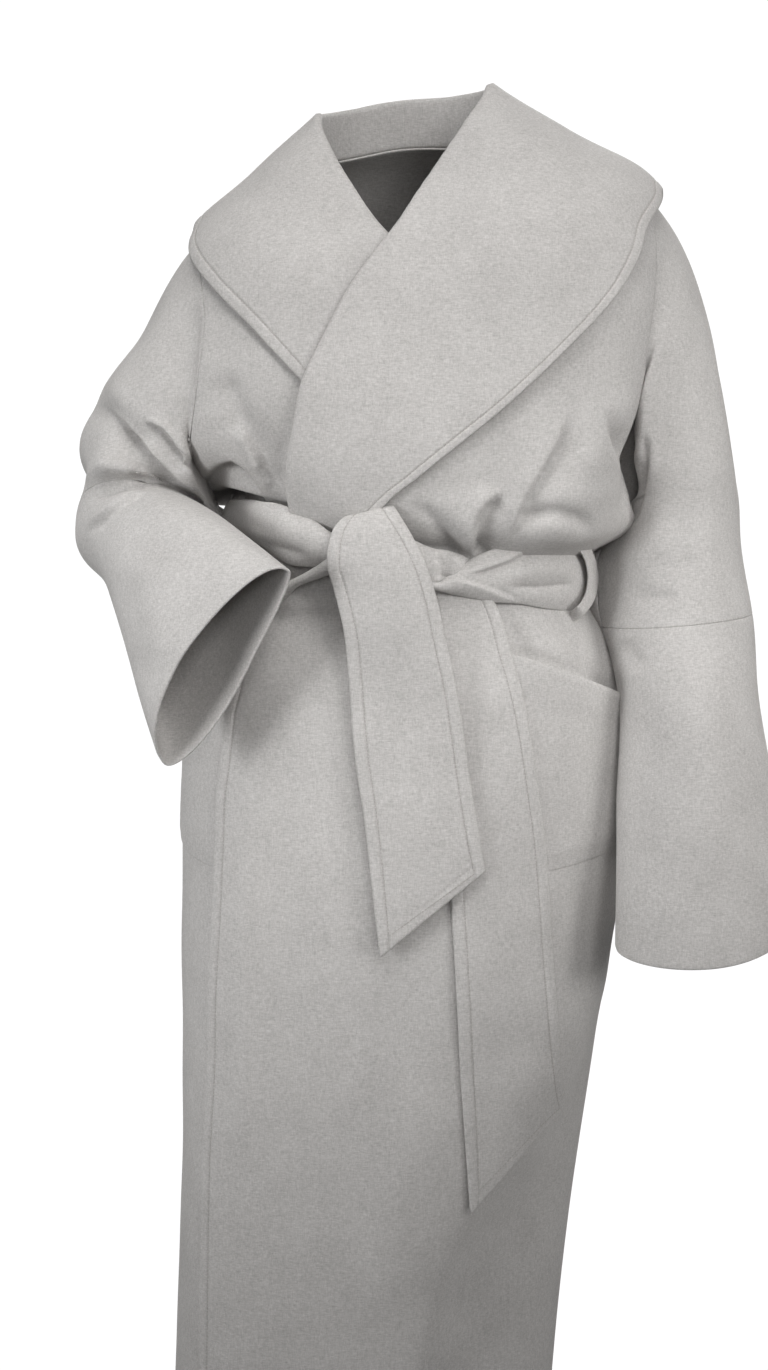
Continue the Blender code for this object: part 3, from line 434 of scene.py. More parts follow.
def sleeve(side, v, psi):
    """Sleeve surface. v: 0 at the armhole, 1 at the first ring, then 1 + metres / 0.1."""
    v, psi = np.broadcast_arrays(np.asarray(v, float), np.asarray(psi, float))
    d = np.clip(v - 1, 0, None) * 0.1
    ring = tube(side, d, psi)
    phi, s = armhole(side, psi)
    A = body(phi, s)
    e = 1.0
    pa, sa = armhole(side, psi - e)
    pb, sb = armhole(side, psi + e)
    along = unit(body(pb, sb) - body(pa, sa))
    out = unit(np.cross(body_normal(phi, s), along)) * side
    first = tube(side, np.zeros_like(d), psi)
    step = (tube(side, np.full_like(d, 0.01), psi) - first) / 0.01
    reach = np.linalg.norm(first - A, axis=-1, keepdims=True)
    k = np.clip(0.62 + 0.62 * np.cos(np.radians(psi)), 0, 1)[..., None]
    leave = unit(out * k + unit(first - A) * (1 - k) * 1.2)
    T0, T1 = leave * reach * SHOULDER_FULL[side], unit(step) * reach
    t = np.clip(v, 0, 1)[..., None]
    start = (
        (2 * t**3 - 3 * t**2 + 1) * A
        + (t**3 - 2 * t**2 + t) * T0
        + (-2 * t**3 + 3 * t**2) * first
        + (t**3 - t**2) * T1
    )
    P = np.where(v[..., None] < 1, start, ring)
    middle = np.stack([flow(sleeve_knots(side), SLEEVE[side][a], d) for a in ("x", "y", "z")], -1)
    return P + unit(P - middle) * sleeve_folds(side, v, psi)[..., None]


def elbow_v(side):
    return 1 + sleeve_knots(side)[ELBOW[side]] / 0.1


def cuff_v(side):
    return 1 + sleeve_knots(side)[-1] / 0.1


# ---------------------------------------------------------------- what lies on the panels
def front_at(x, z, lift=0.0):
    """Point of the left front seen at (x, z) from the front, moved out by lift."""
    x, z = np.broadcast_arrays(np.asarray(x, float), np.asarray(z, float))
    phi = np.degrees(np.arctan2(x - 0.01, 0.13))
    s = np.interp(-z, -RING["zf"], RING["s"])
    for _ in range(14):
        P = left_front(phi, s)
        A = (left_front(phi + 0.4, s) - P) / 0.4
        B = (left_front(phi, s + 0.002) - P) / 0.002
        ex, ez = x - P[..., 0], z - P[..., 2]
        det = A[..., 0] * B[..., 2] - B[..., 0] * A[..., 2]
        phi = np.clip(phi + np.clip((ex * B[..., 2] - B[..., 0] * ez) / det, -15, 15), -88, 88)
        s = np.clip(s + np.clip((A[..., 0] * ez - A[..., 2] * ex) / det, -0.05, 0.05), 0.02, HEM_S - 0.003)
    return left_front(phi, s, np.broadcast_to(np.asarray(lift, float), phi.shape))


# Belt: the band follows the waist; lift holds it clear of the lapel under it.
BELT_S = 0.487           # middle of the band down the cloth
BELT_HALF = 0.0225       # half its height as worn, folded lengthwise
BELT_GAP = (-22.0, 8.0)  # the knot hides the band between these angles


def belt_lift(phi):
    lapel = ease(-66.0, -54.0, phi) * (1 - ease(-20.0, 0.0, phi))
    return 0.0068 + 0.0110 * lapel + 0.004 * (ease(-40.0, -20.0, phi) * (1 - ease(10.0, 40.0, phi)))


def belt_band(phi, k):
    """Band surface; k from -1 at its lower edge to 1 at its upper edge."""
    phi, k = np.broadcast_arrays(np.asarray(phi, float), np.asarray(k, float))
    s = np.full_like(phi, BELT_S)
    way = unit(body_normal(phi, s) * np.array([1.0, 1.0, 0.0]))
    wrapped = (phi + 180.0) % 360.0 - 180.0
    P = body(phi, s) + way * (lap(wrapped, s) + belt_lift(wrapped) + DOUBLE)[..., None]
    lean = 0.009 * ease(-70.0, -50.0, wrapped) * (1 - ease(-20.0, 0.0, wrapped))
    P = P + way * (lean * np.clip(k, 0, 1))[..., None]
    P[..., 2] += k * BELT_HALF
    return P


# Belt ends. Rows down the strip: left and right edge as seen from the front, and how
# far the strip stands off the left front.
END_COLS = ("lx", "lz", "rx", "rz", "lift")
END_FRONT = (
    (-0.048, -0.331, 0.006, -0.329, 0.0250),
    (-0.050, -0.321, 0.007, -0.317, 0.0300),
    (-0.054, -0.320, 0.010, -0.316, 0.0385),   # over the top of the band
    (-0.060, -0.338, 0.016, -0.335, 0.0410),
    (-0.062, -0.372, 0.028, -0.370, 0.0385),
    (-0.054, -0.408, 0.040, -0.404, 0.0290),
    (-0.047, -0.445, 0.048, -0.438, 0.0200),
    (-0.036, -0.540, 0.064, -0.525, 0.0208),
    (-0.024, -0.640, 0.075, -0.600, 0.0206),
    (-0.014, -0.725, 0.082, -0.648, 0.0204),
)
END_BACK = (
    (0.012, -0.404, 0.089, -0.413, 0.0134),
    (0.016, -0.440, 0.104, -0.440, 0.0134),
    (0.026, -0.500, 0.119, -0.500, 0.0134),
    (0.038, -0.600, 0.134, -0.600, 0.0134),
    (0.050, -0.700, 0.144, -0.700, 0.0134),
    (0.058, -0.800, 0.152, -0.790, 0.0134),
    (0.065, -0.900, 0.157, -0.840, 0.0134),
    (0.072, -0.972, 0.159, -0.872, 0.0134),
)


def strip(rows, v, u):
    """Belt end: v along it from 0 to 1, u across it from its left edge to its right."""
    c = table(rows, END_COLS)
    v, u = np.broadcast_arrays(np.asarray(v, float), np.asarray(u, float))
    k = np.linspace(0, 1, len(rows))
    g = {n: flow(k, c[n], v) for n in END_COLS}
    x = g["lx"] + (g["rx"] - g["lx"]) * u
    z = g["lz"] + (g["rz"] - g["lz"]) * u
    return front_at(x, z, g["lift"])


# Patch pockets: angle of the inner and outer side, distances of the slanted mouth and foot.
POCKET = {"phi": {1: (33.0, 80.0), -1: (40.0, 83.0)}, "mouth": {1: (0.568, 0.624), -1: (0.577, 0.628)}, "foot": 0.782, "corner": 0.018}


def pocket(side, u, v):
    u, v = np.broadcast_arrays(np.asarray(u, float), np.asarray(v, float))
    p0, p1 = POCKET["phi"][side]
    phi = p0 + (p1 - p0) * u
    m0, m1 = POCKET["mouth"][side]
    top = m0 + (m1 - m0) * u**1.2
    foot = POCKET["foot"] - POCKET["corner"] * (np.abs(2 * u - 1) ** 6)
    s = top + (foot - top) * v
    lift = np.full_like(phi, 0.0028 + WALL)
    return left_front(phi, s, lift) if side > 0 else right_front(-phi, s, lift)


# Belt loops: a narrow strip over the band on each side.
LOOP_PHI = {1: 76.0, -1: -104.0}
LOOP_HALF = 0.0048       # half width
LOOP_TOP, LOOP_FOOT = 0.021, -0.034   # ends, from the middle of the band


def loop(side, v, u):
    """v from the top end to the lower end, u across from -1 to 1."""
    v, u = np.broadcast_arrays(np.asarray(v, float), np.asarray(u, float))
    phi = LOOP_PHI[side] + u * math.degrees(LOOP_HALF / 0.165)
    P = belt_band(phi, np.zeros_like(phi))
    way = unit(body_normal(phi, np.full_like(phi, BELT_S)) * np.array([1.0, 1.0, 0.0]))
    bow = np.sqrt(np.clip(1 - v**4.0, 0, 1))
    P = P + way * (-0.0035 + 0.0085 * bow)[..., None]
    P[..., 2] += LOOP_TOP + (LOOP_FOOT - LOOP_TOP) * v
    return P


# ---------------------------------------------------------------- front view grid
# Creases are placed on a grid over the front of the coat, 768 steps wide and 1370
# high, one step 0.93 mm on the plane of the front, seen from EYE.
EYE = np.array([-0.010, -2.50, -0.25])
AIM = np.array([-0.010, -0.12, -0.4815])
STEP = 0.00093
REACH = float(np.linalg.norm(AIM - EYE))
FORE = (AIM - EYE) / REACH
SIDE = np.array([1.0, 0.0, 0.0])
RISE = np.cross(SIDE, FORE)


def seen(P):
    """Grid position of a point."""
    d = P - EYE
    k = REACH / STEP / (d @ FORE)
    return 384 + (d @ SIDE) * k, 685 - (d @ RISE) * k


def sight(gx, gy, depth):
    """Point at a grid position and a depth (its Y)."""
    gx, gy, depth = np.broadcast_arrays(*(np.asarray(v, float) for v in (gx, gy, depth)))
    d = FORE + SIDE * ((gx - 384) * STEP / REACH)[..., None] + RISE * ((685 - gy) * STEP / REACH)[..., None]
    return EYE + d * ((depth - EYE[1]) / d[..., 1])[..., None]


def settle(surface, gx, gy, a, b, ha, hb):
    """Point of surface(a, b) that is seen at a grid position."""
    gx, gy = np.broadcast_arrays(np.asarray(gx, float), np.asarray(gy, float))
    a, b = np.broadcast_to(a, gx.shape).astype(float), np.broadcast_to(b, gx.shape).astype(float)
    for _ in range(12):
        x, y = seen(surface(a, b))
        xa, ya = seen(surface(a + ha, b))
        xb, yb = seen(surface(a, b + hb))
        ax, ay, bx, by = (xa - x) / ha, (ya - y) / ha, (xb - x) / hb, (yb - y) / hb
        det = ax * by - bx * ay
        det = np.where(np.abs(det) < 1e-9, 1e-9, det)
        ex, ey = gx - x, gy - y
        a = a + np.clip((ex * by - bx * ey) / det, -30 * ha, 30 * ha)
        b = b + np.clip((ax * ey - ay * ex) / det, -30 * hb, 30 * hb)
    return surface(a, b)


# ---------------------------------------------------------------- creases
# Per crease: the pieces it runs over, its points on the front grid, height in mm (a trough is
# negative), half width in mm, and sharpness (2 round, near 1 a sharp bottom). Sharpness 0
# is a lap: the cloth on the left hand of the line, going along it, folds over the cloth on
# the right hand (with a negative height the other way round), and -1 lets only the right hand
# fall back. A last pair gives the shares of the length over which the ends fade, if not the
# usual ones.
CREASES = (
    # left front, over the belt
    ("front_left", ((506, 491), (495, 497), (484, 508), (477, 526), (474, 545), (476, 566)), -15.5, 10.0, 0),
    ("front_left", ((500, 486), (478, 500), (466, 522), (464, 556)), 2.0, 10.0, 2.0),
    ("front_left", ((412, 500), (430, 518), (446, 536), (458, 562)), -6.0, 8.0, 1.4),
    ("front_left", ((440, 492), (456, 515), (464, 545)), 2.0, 11.0, 2.0),
    ("front_left", ((573, 412), (554, 452), (527, 499), (506, 548)), -10.0, 12.5, 0),
    ("front_left", ((556, 412), (532, 458), (510, 500)), 2.5, 16.0, 2.0),
    ("front_left", ((516, 530), (526, 520), (541, 515), (560, 514), (579, 520), (598, 534)), -10.0, 6.5, 1.2),
    ("front_left", ((512, 544), (545, 533), (580, 538), (616, 530)), 3.0, 13.0, 2.0),
    ("front_left", ((646, 534), (637, 511), (628, 479), (619, 454), (611, 430), (603, 404)), 15.0, 17.0, -1, (0.08, 0.40)),
    ("front_left", ((584, 440), (600, 470), (612, 510)), 2.5, 16.0, 2.0),
    # right front, drawn into the belt
    ("front_right", ((238, 420), (244, 433), (257, 455), (266, 478), (271, 500)), -9.0, 10.0, 0),
    ("front_right", ((226, 372), (231, 392), (236, 412), (246, 438)), -5.5, 11.0, 1.8),
    ("front_right", ((232, 416), (246, 446), (258, 480)), 2.5, 9.0, 2.0),
    ("front_right", ((196, 486), (206, 480), (217, 472), (228, 467), (239, 473), (251, 488), (262, 505), (274, 522)), 34.0, 32.0, -1, (0.22, 0.44)),
    ("front_right", ((282, 430), (280, 470), (281, 512)), -3.0, 5.0, 1.4),
    ("front_right", ((213, 296), (216, 330), (220, 366)), -2.5, 14.0, 2.0),
    ("front_right", ((216, 400), (210, 440), (212, 468)), 2.0, 14.0, 2.0),
    ("front_right", ((186, 796), (200, 794), (216, 798)), -3.0, 8.0, 1.6),
    # right sleeve, at the bend
    ("sleeve_right_upper", ((92, 398), (110, 414), (124, 426), (141, 443), (167, 467), (192, 487), (219, 512), (260, 545)), 15.5, 10.5, 0),
    ("sleeve_right_upper", ((88, 396), (110, 416), (128, 432), (152, 454)), -9.0, 13.0, 2.0),
    ("sleeve_right_upper", ((140, 422), (154, 425), (164, 430), (175, 443), (184, 457), (194, 472)), 13.0, 8.0, 0),
    ("sleeve_right_upper", ((140, 420), (158, 436), (174, 456), (196, 484)), 2.0, 9.0, 2.0),
    ("sleeve_right", ((88, 502), (104, 495), (118, 490), (140, 485), (160, 483)), -5.0, 4.5, 1.3),
    ("sleeve_right", ((84, 534), (96, 521), (109, 511), (127, 498), (150, 490)), 9.5, 7.5, 0),
    ("sleeve_right", ((92, 466), (112, 466), (140, 470)), 4.0, 12.0, 2.0),
    ("sleeve_right", ((194, 300), (186, 350), (182, 400)), -2.5, 16.0, 2.0),
    ("sleeve_right", ((160, 540), (150, 600), (158, 680)), 3.0, 24.0, 2.0),
    ("sleeve_right", ((120, 560), (130, 620), (146, 690)), -2.5, 16.0, 2.0),
    # left sleeve
    ("sleeve_left", ((640, 428), (647, 436), (649, 448), (647, 468), (643, 490), (638, 514), (634, 530)), 7.0, 9.0, -1),
    ("sleeve_left", ((618, 640), (630, 652), (640, 672)), -3.5, 9.0, 2.0),
    ("sleeve_left", ((626, 602), (648, 596), (680, 598)), -2.5, 8.0, 1.8),
    ("sleeve_left", ((640, 560), (668, 566), (700, 560)), -2.0, 12.0, 2.0),
    ("sleeve_left", ((690, 300), (700, 400), (708, 520)), 3.0, 22.0, 2.0),
    ("sleeve_left", ((664, 330), (664, 400), (668, 470)), -2.5, 18.0, 2.0),
    ("sleeve_left", ((650, 690), (646, 780), (640, 900)), -2.5, 18.0, 2.0),
    ("sleeve_left", ((700, 660), (708, 760), (712, 900)), 3.0, 24.0, 2.0),
    # skirt
    ("front_left", ((500, 650), (520, 654), (545, 661), (576, 672), (620, 694)), -3.5, 6.0, 1.4, (0.1, 0.1)),
    ("front_left", ((524, 640), (556, 650), (590, 664)), 2.0, 12.0, 2.0),
    ("front_left", ((536, 1150), (500, 1220), (470, 1290), (436, 1350)), -9.0, 34.0, 2.0),
    ("front_left", ((430, 1060), (400, 1180), (380, 1340)), 5.0, 34.0, 2.0),
    ("front_left", ((300, 700), (286, 860), (280, 1100)), -3.0, 26.0, 2.0),
    ("front_left", ((250, 780), (244, 960), (240, 1200)), 3.0, 16.0, 2.0),
    ("front_left", ((505, 618), (520, 640), (530, 668)), -3.5, 9.0, 1.6),
    ("front_left", ((546, 606), (570, 640), (596, 674), (622, 706)), -4.5, 9.0, 1.5),
    # belt: the lengthwise folds of the band and its crossing
    ("belt_band", ((468, 573), (482, 571), (494, 567), (511, 561), (525, 552), (538, 545)), 7.0, 6.0, 0),
    ("belt_band", ((450, 578), (470, 582), (488, 588), (506, 596), (522, 602)), -5.0, 5.5, 0),
    ("belt_band", ((506, 585), (518, 588), (540, 588), (580, 584)), -4.5, 4.5, 1.3),
    ("belt_band", ((500, 575), (530, 572), (580, 568)), 2.5, 8.0, 2.0),
    ("belt_band", ((248, 540), (276, 548), (310, 556)), -2.5, 6.0, 1.6),
    ("belt_under", ((436, 551), (442, 562), (440, 584)), -4.0, 5.0, 1.4),
    ("belt_under", ((452, 553), (456, 566), (450, 580)), 2.5, 6.0, 2.0),
)


def polyline(gx, gy, pts):
    """Distance (in steps) from a line of points, positive on its left hand, and the share of
    its length passed."""
    pts = np.array(pts, float)
    seg = np.diff(pts, axis=0)
    lens = np.linalg.norm(seg, axis=1)
    start = np.concatenate([[0.0], np.cumsum(lens)])
    best = np.full(gx.shape, 1e9)
    share = np.zeros(gx.shape)
    hand = np.ones(gx.shape)
    across = np.stack([seg[:, 1], -seg[:, 0]], 1) / lens[:, None]
    corner = np.concatenate([across[:1], across[:-1] + across[1:], across[-1:]])
    for i in range(len(seg)):
        rx, ry = gx - pts[i, 0], gy - pts[i, 1]
        t = np.clip((rx * seg[i, 0] + ry * seg[i, 1]) / lens[i] ** 2, 0, 1)
        rx, ry = rx - t * seg[i, 0], ry - t * seg[i, 1]
        d = np.hypot(rx, ry)
        side = np.where(t <= 0, rx * corner[i, 0] + ry * corner[i, 1], np.where(
            t >= 1, rx * corner[i + 1, 0] + ry * corner[i + 1, 1], rx * across[i, 0] + ry * across[i, 1]))
        near = d < best
        best = np.where(near, d, best)
        share = np.where(near, (start[i] + t * lens[i]) / start[-1], share)
        hand = np.where(near, np.sign(side), hand)
    return best * hand, share


def creases(name, P, N):
    gx, gy = seen(P)
    facing = np.clip((-(N @ FORE) - 0.02) / 0.30, 0, 1)
    out = np.zeros(gx.shape)
    for piece, pts, depth, width, power, *ends in CREASES:
        if not name.startswith(piece):
            continue
        first, last = ends[0] if ends else (0.28, 0.25)
        d, share = polyline(gx, gy, pts)
        d = d * STEP * 1000
        fade = ease(0.0, first, share) * (1 - ease(1.0 - last, 1.0, share))
        if power < 0:
            form = -0.5 * (1 - np.tanh(d / np.clip(0.13 * width, 1.2, 3.0))) * np.exp(-((np.minimum(d, 0) / width) ** 2))
        elif power:
            form = np.exp(-((np.abs(d) / width) ** power))
        else:
            over = 0.5 + 0.5 * np.tanh(d * np.sign(depth) / 1.0)
            form = over * 0.42 * np.exp(-((np.abs(d) / width) ** 1.6))
            form = form - (1 - over) * 0.58 * np.exp(-((np.abs(d) / (1.5 * width)) ** 1.2))
            form = form * np.sign(depth)
        out = out + 0.001 * depth * fade * form
    return out * facing


def ripple(x, y, seed, height, longest, shortest):
    """Low, uneven waves over the cloth, the same each run."""
    rng = np.random.RandomState(seed)
    out = np.zeros(np.shape(x))
    for _ in range(9):
        length = shortest * (longest / shortest) ** rng.rand()
        turn = rng.rand() * math.tau
        out = out + np.sin((x * math.cos(turn) + y * math.sin(turn)) * math.tau / length + rng.rand() * math.tau) * length / longest
    return out * height / 2.2


# ---------------------------------------------------------------- cloth shells
EDGE_STEPS = np.array([0.0, 0.7, 1.5, 2.6, 4.2, 6.0, 7.6, 8.6, 9.3, 9.9, 10.5, 11.1, 11.8, 12.8, 14.4, 17.0, 20.5]) * 0.001
STITCH = 10              # the column of EDGE_STEPS that the topstitching follows


def normals(P, out):
    N = np.cross(np.gradient(P, axis=0), np.gradient(P, axis=1))
    N = unit(N)
    if np.einsum("ijk,ijk->ij", N, np.broadcast_to(out, N.shape)).sum() < 0:
        N = -N
    return N


def respace(P, count, near=False, far=False):
    """The same rows with their points spaced evenly along the cloth, and close together
    within 20 mm of the near end (first column) or the far end (last column)."""
    rows = []
    for row in P:
        L = np.concatenate([[0.0], np.cumsum(np.linalg.norm(np.diff(row[:, :3], axis=0), axis=1))])
        total = L[-1]
        fit = min(1.0, 0.42 * total / EDGE_STEPS[-1])
        a = EDGE_STEPS * fit if near else np.array([0.0])
        b = total - (EDGE_STEPS * fit)[::-1] if far else np.array([total])
        mid = np.linspace(a[-1], b[0], count)[1:-1]
        t = np.concatenate([a, mid, b])
        rows.append(np.stack([np.interp(t, L, row[:, k]) for k in range(row.shape[1])], -1))
    return np.array(rows)


def span(P, axis):
    d = np.linalg.norm(np.diff(P, axis=axis), axis=-1)
    return np.concatenate([np.zeros_like(np.take(d, [0], axis)), np.cumsum(d, axis=axis)], axis)


def topstitch(d, rise=0.0003, sink=0.0007, at=0.0105):
    """Edge finish at a distance d from a stitched edge: a soft roll, then the stitch line."""
    roll = rise * np.sin(np.pi * np.clip(d / at, 0, 1)) ** 0.8
    return roll - sink * np.exp(-(((d - at) / 0.0012) ** 2))


def shell(name, P, out, thick, uv, inside=None):
    """A closed cloth wall: the outer layer through P, the inner layer behind it, and a
    rounded edge all round."""
    nu, nv = P.shape[:2]
    N = normals(P, out)
    th = np.broadcast_to(np.asarray(thick, float), (nu, nv))
    Q = P - N * th[..., None]
    loop = [(i, 0) for i in range(nu)] + [(nu - 1, j) for j in range(1, nv)]
    loop += [(i, nv - 1) for i in range(nu - 2, -1, -1)] + [(0, j) for j in range(nv - 2, 0, -1)]
    I, J = np.array(loop).T
    centre = 0.5 * (P + Q)
    gu, gv = np.gradient(P, axis=0), np.gradient(P, axis=1)
    away = np.zeros((len(loop), 3))
    away += np.where((I == 0)[:, None], -unit(gu[I, J]), 0) + np.where((I == nu - 1)[:, None], unit(gu[I, J]), 0)
    away += np.where((J == 0)[:, None], -unit(gv[I, J]), 0) + np.where((J == nv - 1)[:, None], unit(gv[I, J]), 0)
    n_l = N[I, J]
    away = unit(away - n_l * np.einsum("ij,ij->i", away, n_l)[:, None])
    half = 0.5 * th[I, J][:, None]
    rims = [centre[I, J] + n_l * half * math.cos(a) + away * half * math.sin(a) for a in (math.radians(40), math.radians(90), math.radians(140))]
    verts = np.concatenate([P.reshape(-1, 3), Q.reshape(-1, 3)] + rims)
    first = np.arange(nu * nv).reshape(nu, nv)
    quads = np.stack([first[:-1, :-1], first[1:, :-1], first[1:, 1:], first[:-1, 1:]], -1).reshape(-1, 4)
    right = np.einsum("ijk,ijk->ij", np.cross(gu, gv), N).sum() > 0
    outer = quads if right else quads[:, ::-1]
    inner = (quads[:, ::-1] if right else quads) + nu * nv
    m = len(loop)
    rings = [first[I, J]] + [2 * nu * nv + k * m + np.arange(m) for k in range(3)] + [first[I, J] + nu * nv]
    sides = []
    for a, b in zip(rings[:-1], rings[1:]):
        q = np.stack([a, np.roll(a, -1), np.roll(b, -1), b], -1)
        sides.append(q[:, ::-1] if right else q)
    faces = np.concatenate([outer, inner] + sides)
    mesh = bpy.data.meshes.new(name)
    mesh.vertices.add(len(verts))
    mesh.vertices.foreach_set("co", verts.astype(np.float32).ravel())
    mesh.loops.add(faces.size)
    mesh.loops.foreach_set("vertex_index", faces.astype(np.int32).ravel())
    mesh.polygons.add(len(faces))
    mesh.polygons.foreach_set("loop_start", np.arange(0, faces.size, 4, dtype=np.int32))
    mesh.polygons.foreach_set("loop_total", np.full(len(faces), 4, np.int32))
    mesh.update(calc_edges=True)
    U = np.concatenate([uv.reshape(-1, 2), uv.reshape(-1, 2)] + [uv[I, J] for _ in rims])
    layer = mesh.uv_layers.new(name="cloth")
    layer.data.foreach_set("uv", U[faces.ravel()].astype(np.float32).ravel())
    mesh.shade_smooth()
    ob = bpy.data.objects.new(name, mesh)
    bpy.context.scene.collection.objects.link(ob)
    mesh.materials.append(WOOL)
    if inside:
        # The inner faces take the second material; on the sleeves this is the darker wool, painted shade for the inside
        # of the sleeve.
        mesh.materials.append(inside)
        kind = np.zeros(len(faces), np.int32)
        kind[len(outer):len(outer) + len(inner)] = 1
        mesh.polygons.foreach_set("material_index", kind)
    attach(ob, "root")
    return ob, N


def cut_size(P, long_):
    """Width, length and area of the flat piece of cloth."""
    w = span(P, 1)[:, -1].max()
    l = long_(span(P, 0)[-1])
    a, b = np.diff(P, axis=0)[:, :-1], np.diff(P, axis=1)[:-1]
    area = np.linalg.norm(np.cross(a, b), axis=-1).sum()
    return float(w), float(l), float(min(area, w * l))


SHEETS = {}


def declare(ob, P, long_=np.max):
    w, l, area = cut_size(P, long_)
    area = max(area, 0.31 * w * l)
    SHEETS[ob.name] = (round(w, 3), round(l, 3), round(area, 4))


STITCHES = []


def stitch_run(path, normal, pitch=0.0034, length=0.0025, r=0.00042):
    """Small threads laid along a path, each a slim six-sided lozenge."""
    L = np.concatenate([[0.0], np.cumsum(np.linalg.norm(np.diff(path, axis=0), axis=1))])
    n = int(L[-1] / pitch)
    at = (np.arange(n) + 0.5) * pitch
    C = np.stack([np.interp(at, L, path[:, k]) for k in range(3)], -1)
    A = np.stack([np.interp(at - 0.5 * length, L, path[:, k]) for k in range(3)], -1)
    B = np.stack([np.interp(at + 0.5 * length, L, path[:, k]) for k in range(3)], -1)
    Nn = unit(np.stack([np.interp(at, L, normal[:, k]) for k in range(3)], -1))
    T = unit(B - A)
    Bn = np.cross(T, Nn)
    STITCHES.append((C + Nn * r * 0.5, T, Nn, Bn, length, r))


def make_stitches(name):
    V, F = [], []
    base = 0
    ang = np.arange(6) * math.tau / 6
    for C, T, Nn, Bn, length, r in STITCHES:
        for x, rad in ((-0.5, 0.35), (-0.28, 1.0), (0.28, 1.0), (0.5, 0.35)):
            ring = C[:, None] + T[:, None] * (x * length) + (Nn[:, None] * np.sin(ang)[None, :, None] + Bn[:, None] * np.cos(ang)[None, :, None]) * (rad * r) - Nn[:, None] * (abs(x) > 0.4) * r * 0.6
            V.append(ring.reshape(-1, 3))
        n = len(C)
        ids = (base + np.arange(4 * n * 6)).reshape(4, n, 6)
        for k in range(3):
            a, b = ids[k], ids[k + 1]
            F.append(np.stack([a, b, np.roll(b, -1, 1), np.roll(a, -1, 1)], -1).reshape(-1, 4))
        caps = [(ids[0], False), (ids[3], True)]
        for c, flip in caps:
            for q in ((0, 1, 2, 3), (0, 3, 4, 5)):
                f = c[:, q]
                F.append(f[:, ::-1] if flip else f)
        base += 4 * n * 6
    V, F = np.concatenate(V), np.concatenate(F)
    mesh = bpy.data.meshes.new(name)
    mesh.from_pydata(V.tolist(), [], F.tolist())
    mesh.shade_smooth()
    ob = bpy.data.objects.new(name, mesh)
    bpy.context.scene.collection.objects.link(ob)
    mesh.materials.append(THREAD)
    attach(ob, "root")
    return ob


# ---------------------------------------------------------------- materials
def wool(name, light, mid, dark, bump=0.35):
    """Napped melange wool: short fibres of three tones lying both ways, a soft fuzz and a
    slow unevenness of the felted face. Coordinates are metres, along and across the grain."""
    mat = bpy.data.materials.new(name)
    mat.use_nodes = True
    nt = mat.node_tree
    bsdf = nt.nodes["Principled BSDF"]
    bsdf.inputs["Roughness"].default_value = 0.94
    bsdf.inputs["Specular IOR Level"].default_value = 0.18
    bsdf.inputs["Sheen Weight"].default_value = 0.16
    bsdf.inputs["Sheen Roughness"].default_value = 0.55
    bsdf.inputs["Sheen Tint"].default_value = (0.95, 0.93, 0.90, 1.0)
    co = nt.nodes.new("ShaderNodeTexCoord")

    def noise(sx, sz, detail, rough, shift):
        m = nt.nodes.new("ShaderNodeMapping")
        m.inputs["Scale"].default_value = (sx, math.sqrt(sx * sz), sz)
        m.inputs["Location"].default_value = (shift, shift * 0.7, shift * 1.3)
        nt.links.new(co.outputs["Object"], m.inputs["Vector"])
        n = nt.nodes.new("ShaderNodeTexNoise")
        n.inputs["Scale"].default_value = 1.0
        n.inputs["Detail"].default_value = detail
        n.inputs["Roughness"].default_value = rough
        nt.links.new(m.outputs["Vector"], n.inputs["Vector"])
        return n.outputs["Fac"]

    def math_node(op, a, b):
        m = nt.nodes.new("ShaderNodeMath"); m.operation = op
        for k, v in enumerate((a, b)):
            if isinstance(v, (int, float)):
                m.inputs[k].default_value = v
            else:
                nt.links.new(v, m.inputs[k])
        return m.outputs[0]

    across = noise(190.0, 900.0, 3.0, 0.6, 1.7)
    down = noise(900.0, 210.0, 3.0, 0.6, 5.1)
    speck = noise(1900.0, 1900.0, 2.0, 0.6, 9.3)
    slow = noise(26.0, 22.0, 3.0, 0.55, 3.3)
    fibre = math_node("ADD", math_node("MULTIPLY", across, 0.55), math_node("MULTIPLY", down, 0.45))
    tone = math_node("ADD", math_node("MULTIPLY", fibre, 0.72), math_node("MULTIPLY", speck, 0.28))
    tone = math_node("ADD", tone, math_node("MULTIPLY", math_node("SUBTRACT", slow, 0.5), 0.12))
    ramp = nt.nodes.new("ShaderNodeValToRGB")
    ramp.color_ramp.elements[0].position = 0.36
    ramp.color_ramp.elements[0].color = (*dark, 1)
    ramp.color_ramp.elements[1].position = 0.64
    ramp.color_ramp.elements[1].color = (*light, 1)
    e = ramp.color_ramp.elements.new(0.50)
    e.color = (*mid, 1)
    nt.links.new(tone, ramp.inputs["Fac"])
    nt.links.new(ramp.outputs["Color"], bsdf.inputs["Base Color"])
    height = math_node("ADD", fibre, math_node("MULTIPLY", speck, 0.5))
    b = nt.nodes.new("ShaderNodeBump")
    b.inputs["Strength"].default_value = bump
    b.inputs["Distance"].default_value = 0.0006
    nt.links.new(height, b.inputs["Height"])
    nt.links.new(b.outputs["Normal"], bsdf.inputs["Normal"])
    return mat


WOOL = wool("melange_wool", (0.600, 0.583, 0.571), (0.480, 0.466, 0.455), (0.365, 0.352, 0.342))
# A darker copy of the same wool for the inner faces of the sleeves: painted shade for the inside of the sleeve, not a
# different cloth.
WOOL_PAINTED_SHADE_INSIDE = wool("melange_wool_inside_painted_shade", (0.575, 0.558, 0.544), (0.455, 0.440, 0.428), (0.345, 0.332, 0.322))
THREAD = bpy.data.materials.new("thread")
THREAD.use_nodes = True


